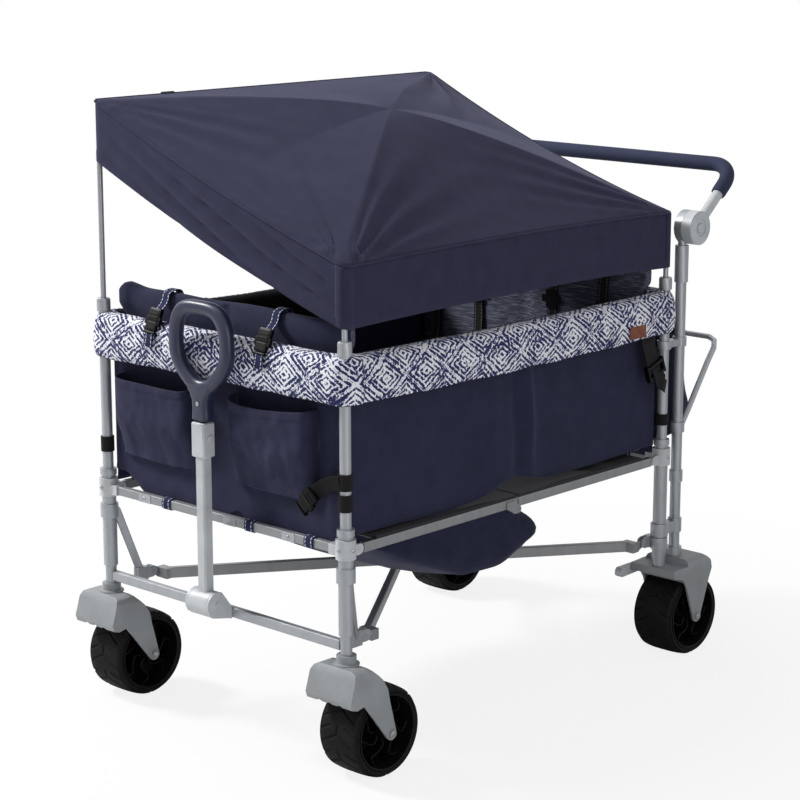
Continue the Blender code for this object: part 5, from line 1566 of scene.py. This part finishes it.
def make_sky():
    """White where the camera sees it, also in reflections, and dimmer as a light."""
    world = bpy.data.worlds.new("studio")
    bpy.context.scene.world = world
    world.use_nodes = True
    sky = Nodes(world.node_tree)
    sky.tree.nodes.clear()
    rays = sky.node("LightPath").outputs
    kinds = ("Camera", "Transmission", "Glossy")
    camera, through, mirrored = (Value(sky, rays[f"Is {kind} Ray"]) for kind in kinds)
    seen = camera.math("MAXIMUM", through).math("MAXIMUM", mirrored)
    lit = sky.glow("Background", (0.95, 0.97, 1.0, 1.0), 0.29)
    white = sky.glow("Background", (1.0, 1.0, 1.0, 1.0), 1.0)
    sky.mix_shaders(seen, lit, white, sky.node("OutputWorld"))


def make_floor():
    """Pale floor that takes shadows and fades to white away from the wagon."""
    far = 14.0
    mesh = bpy.data.meshes.new("floor")
    corners = [(-far, -far, 0), (far, -far, 0), (far, far, 0), (-far, far, 0)]
    mesh.from_pydata(corners, [], [(0, 1, 2, 3)])
    shader = Shader("pale_floor", (0.88, 0.88, 0.88, 1.0), 0.9, specular=0.0)
    middle = Value(shader, shader.node("TexCoord").outputs["Object"])
    distance = shader.feed(shader.node("VectorMath", operation="LENGTH"), middle, out="Value")
    share = shader.feed(shader.node("MapRange"), distance, 0.7, 1.6, 0.85, 1.0)
    seen = Value(shader, shader.node("LightPath").outputs["Is Camera Ray"])
    glow = shader.glow("Emission", (1.0, 1.0, 1.0, 1.0), 1.0)
    plain = Value(shader, shader.base.outputs[0])
    shader.mix_shaders(seen * share, plain, glow, shader.tree.nodes["Material Output"])
    mesh.materials.append(shader.material)
    place_object("floor", mesh, (0.0, 0.0, -0.0004))


def make_stage():
    bpy.context.scene.view_settings.view_transform = "Standard"
    make_sky()
    make_floor()
    for name, at, target_z, size, power_watts in (
        ("key", (-3.8, -2.2, 4.2), 0.7, 1.1, 345.0),
        ("top", (-0.8, 0.0, 4.2), 0.6, 3.0, 28.0),
        ("fill", (4.2, -1.2, 1.2), 0.6, 2.4, 39.0),
    ):
        data = bpy.data.lights.new(name, "AREA")
        data.shape = "SQUARE"
        data.size = size
        data.energy = power_watts
        aim = Vector((0.0, 0.0, target_z)) - Vector(at)
        place_object(name, data, at).rotation_euler = aim.to_track_quat("-Z", "Y").to_euler()


def make_camera():
    data = bpy.data.cameras.new("camera")
    data.lens = 101.9
    data.sensor_width = 36.0
    data.sensor_fit = "HORIZONTAL"
    data.clip_end = 60.0
    turn, pitch = radians(42.87), radians(12.55)
    forward = Vector((-sin(turn) * cos(pitch), cos(turn) * cos(pitch), -sin(pitch)))
    camera = place_object("camera", data, (3.103, -3.319 + MID_Y, 1.608))
    camera.rotation_euler = forward.to_track_quat("-Z", "Y").to_euler()
    bpy.context.scene.camera = camera


make_camera()
make_stage()
dress_frame()
make_canopy()
make_rim_pads()
make_side_panels()
make_end_panels()
make_seats()
make_basket()
make_wheels()
make_pull_grip()
make_push_foam()
make_front_straps()
make_post_bands()
make_side_strap()
make_tag()
make_harnesses()
make_bar_loops()
make_frame_screws()
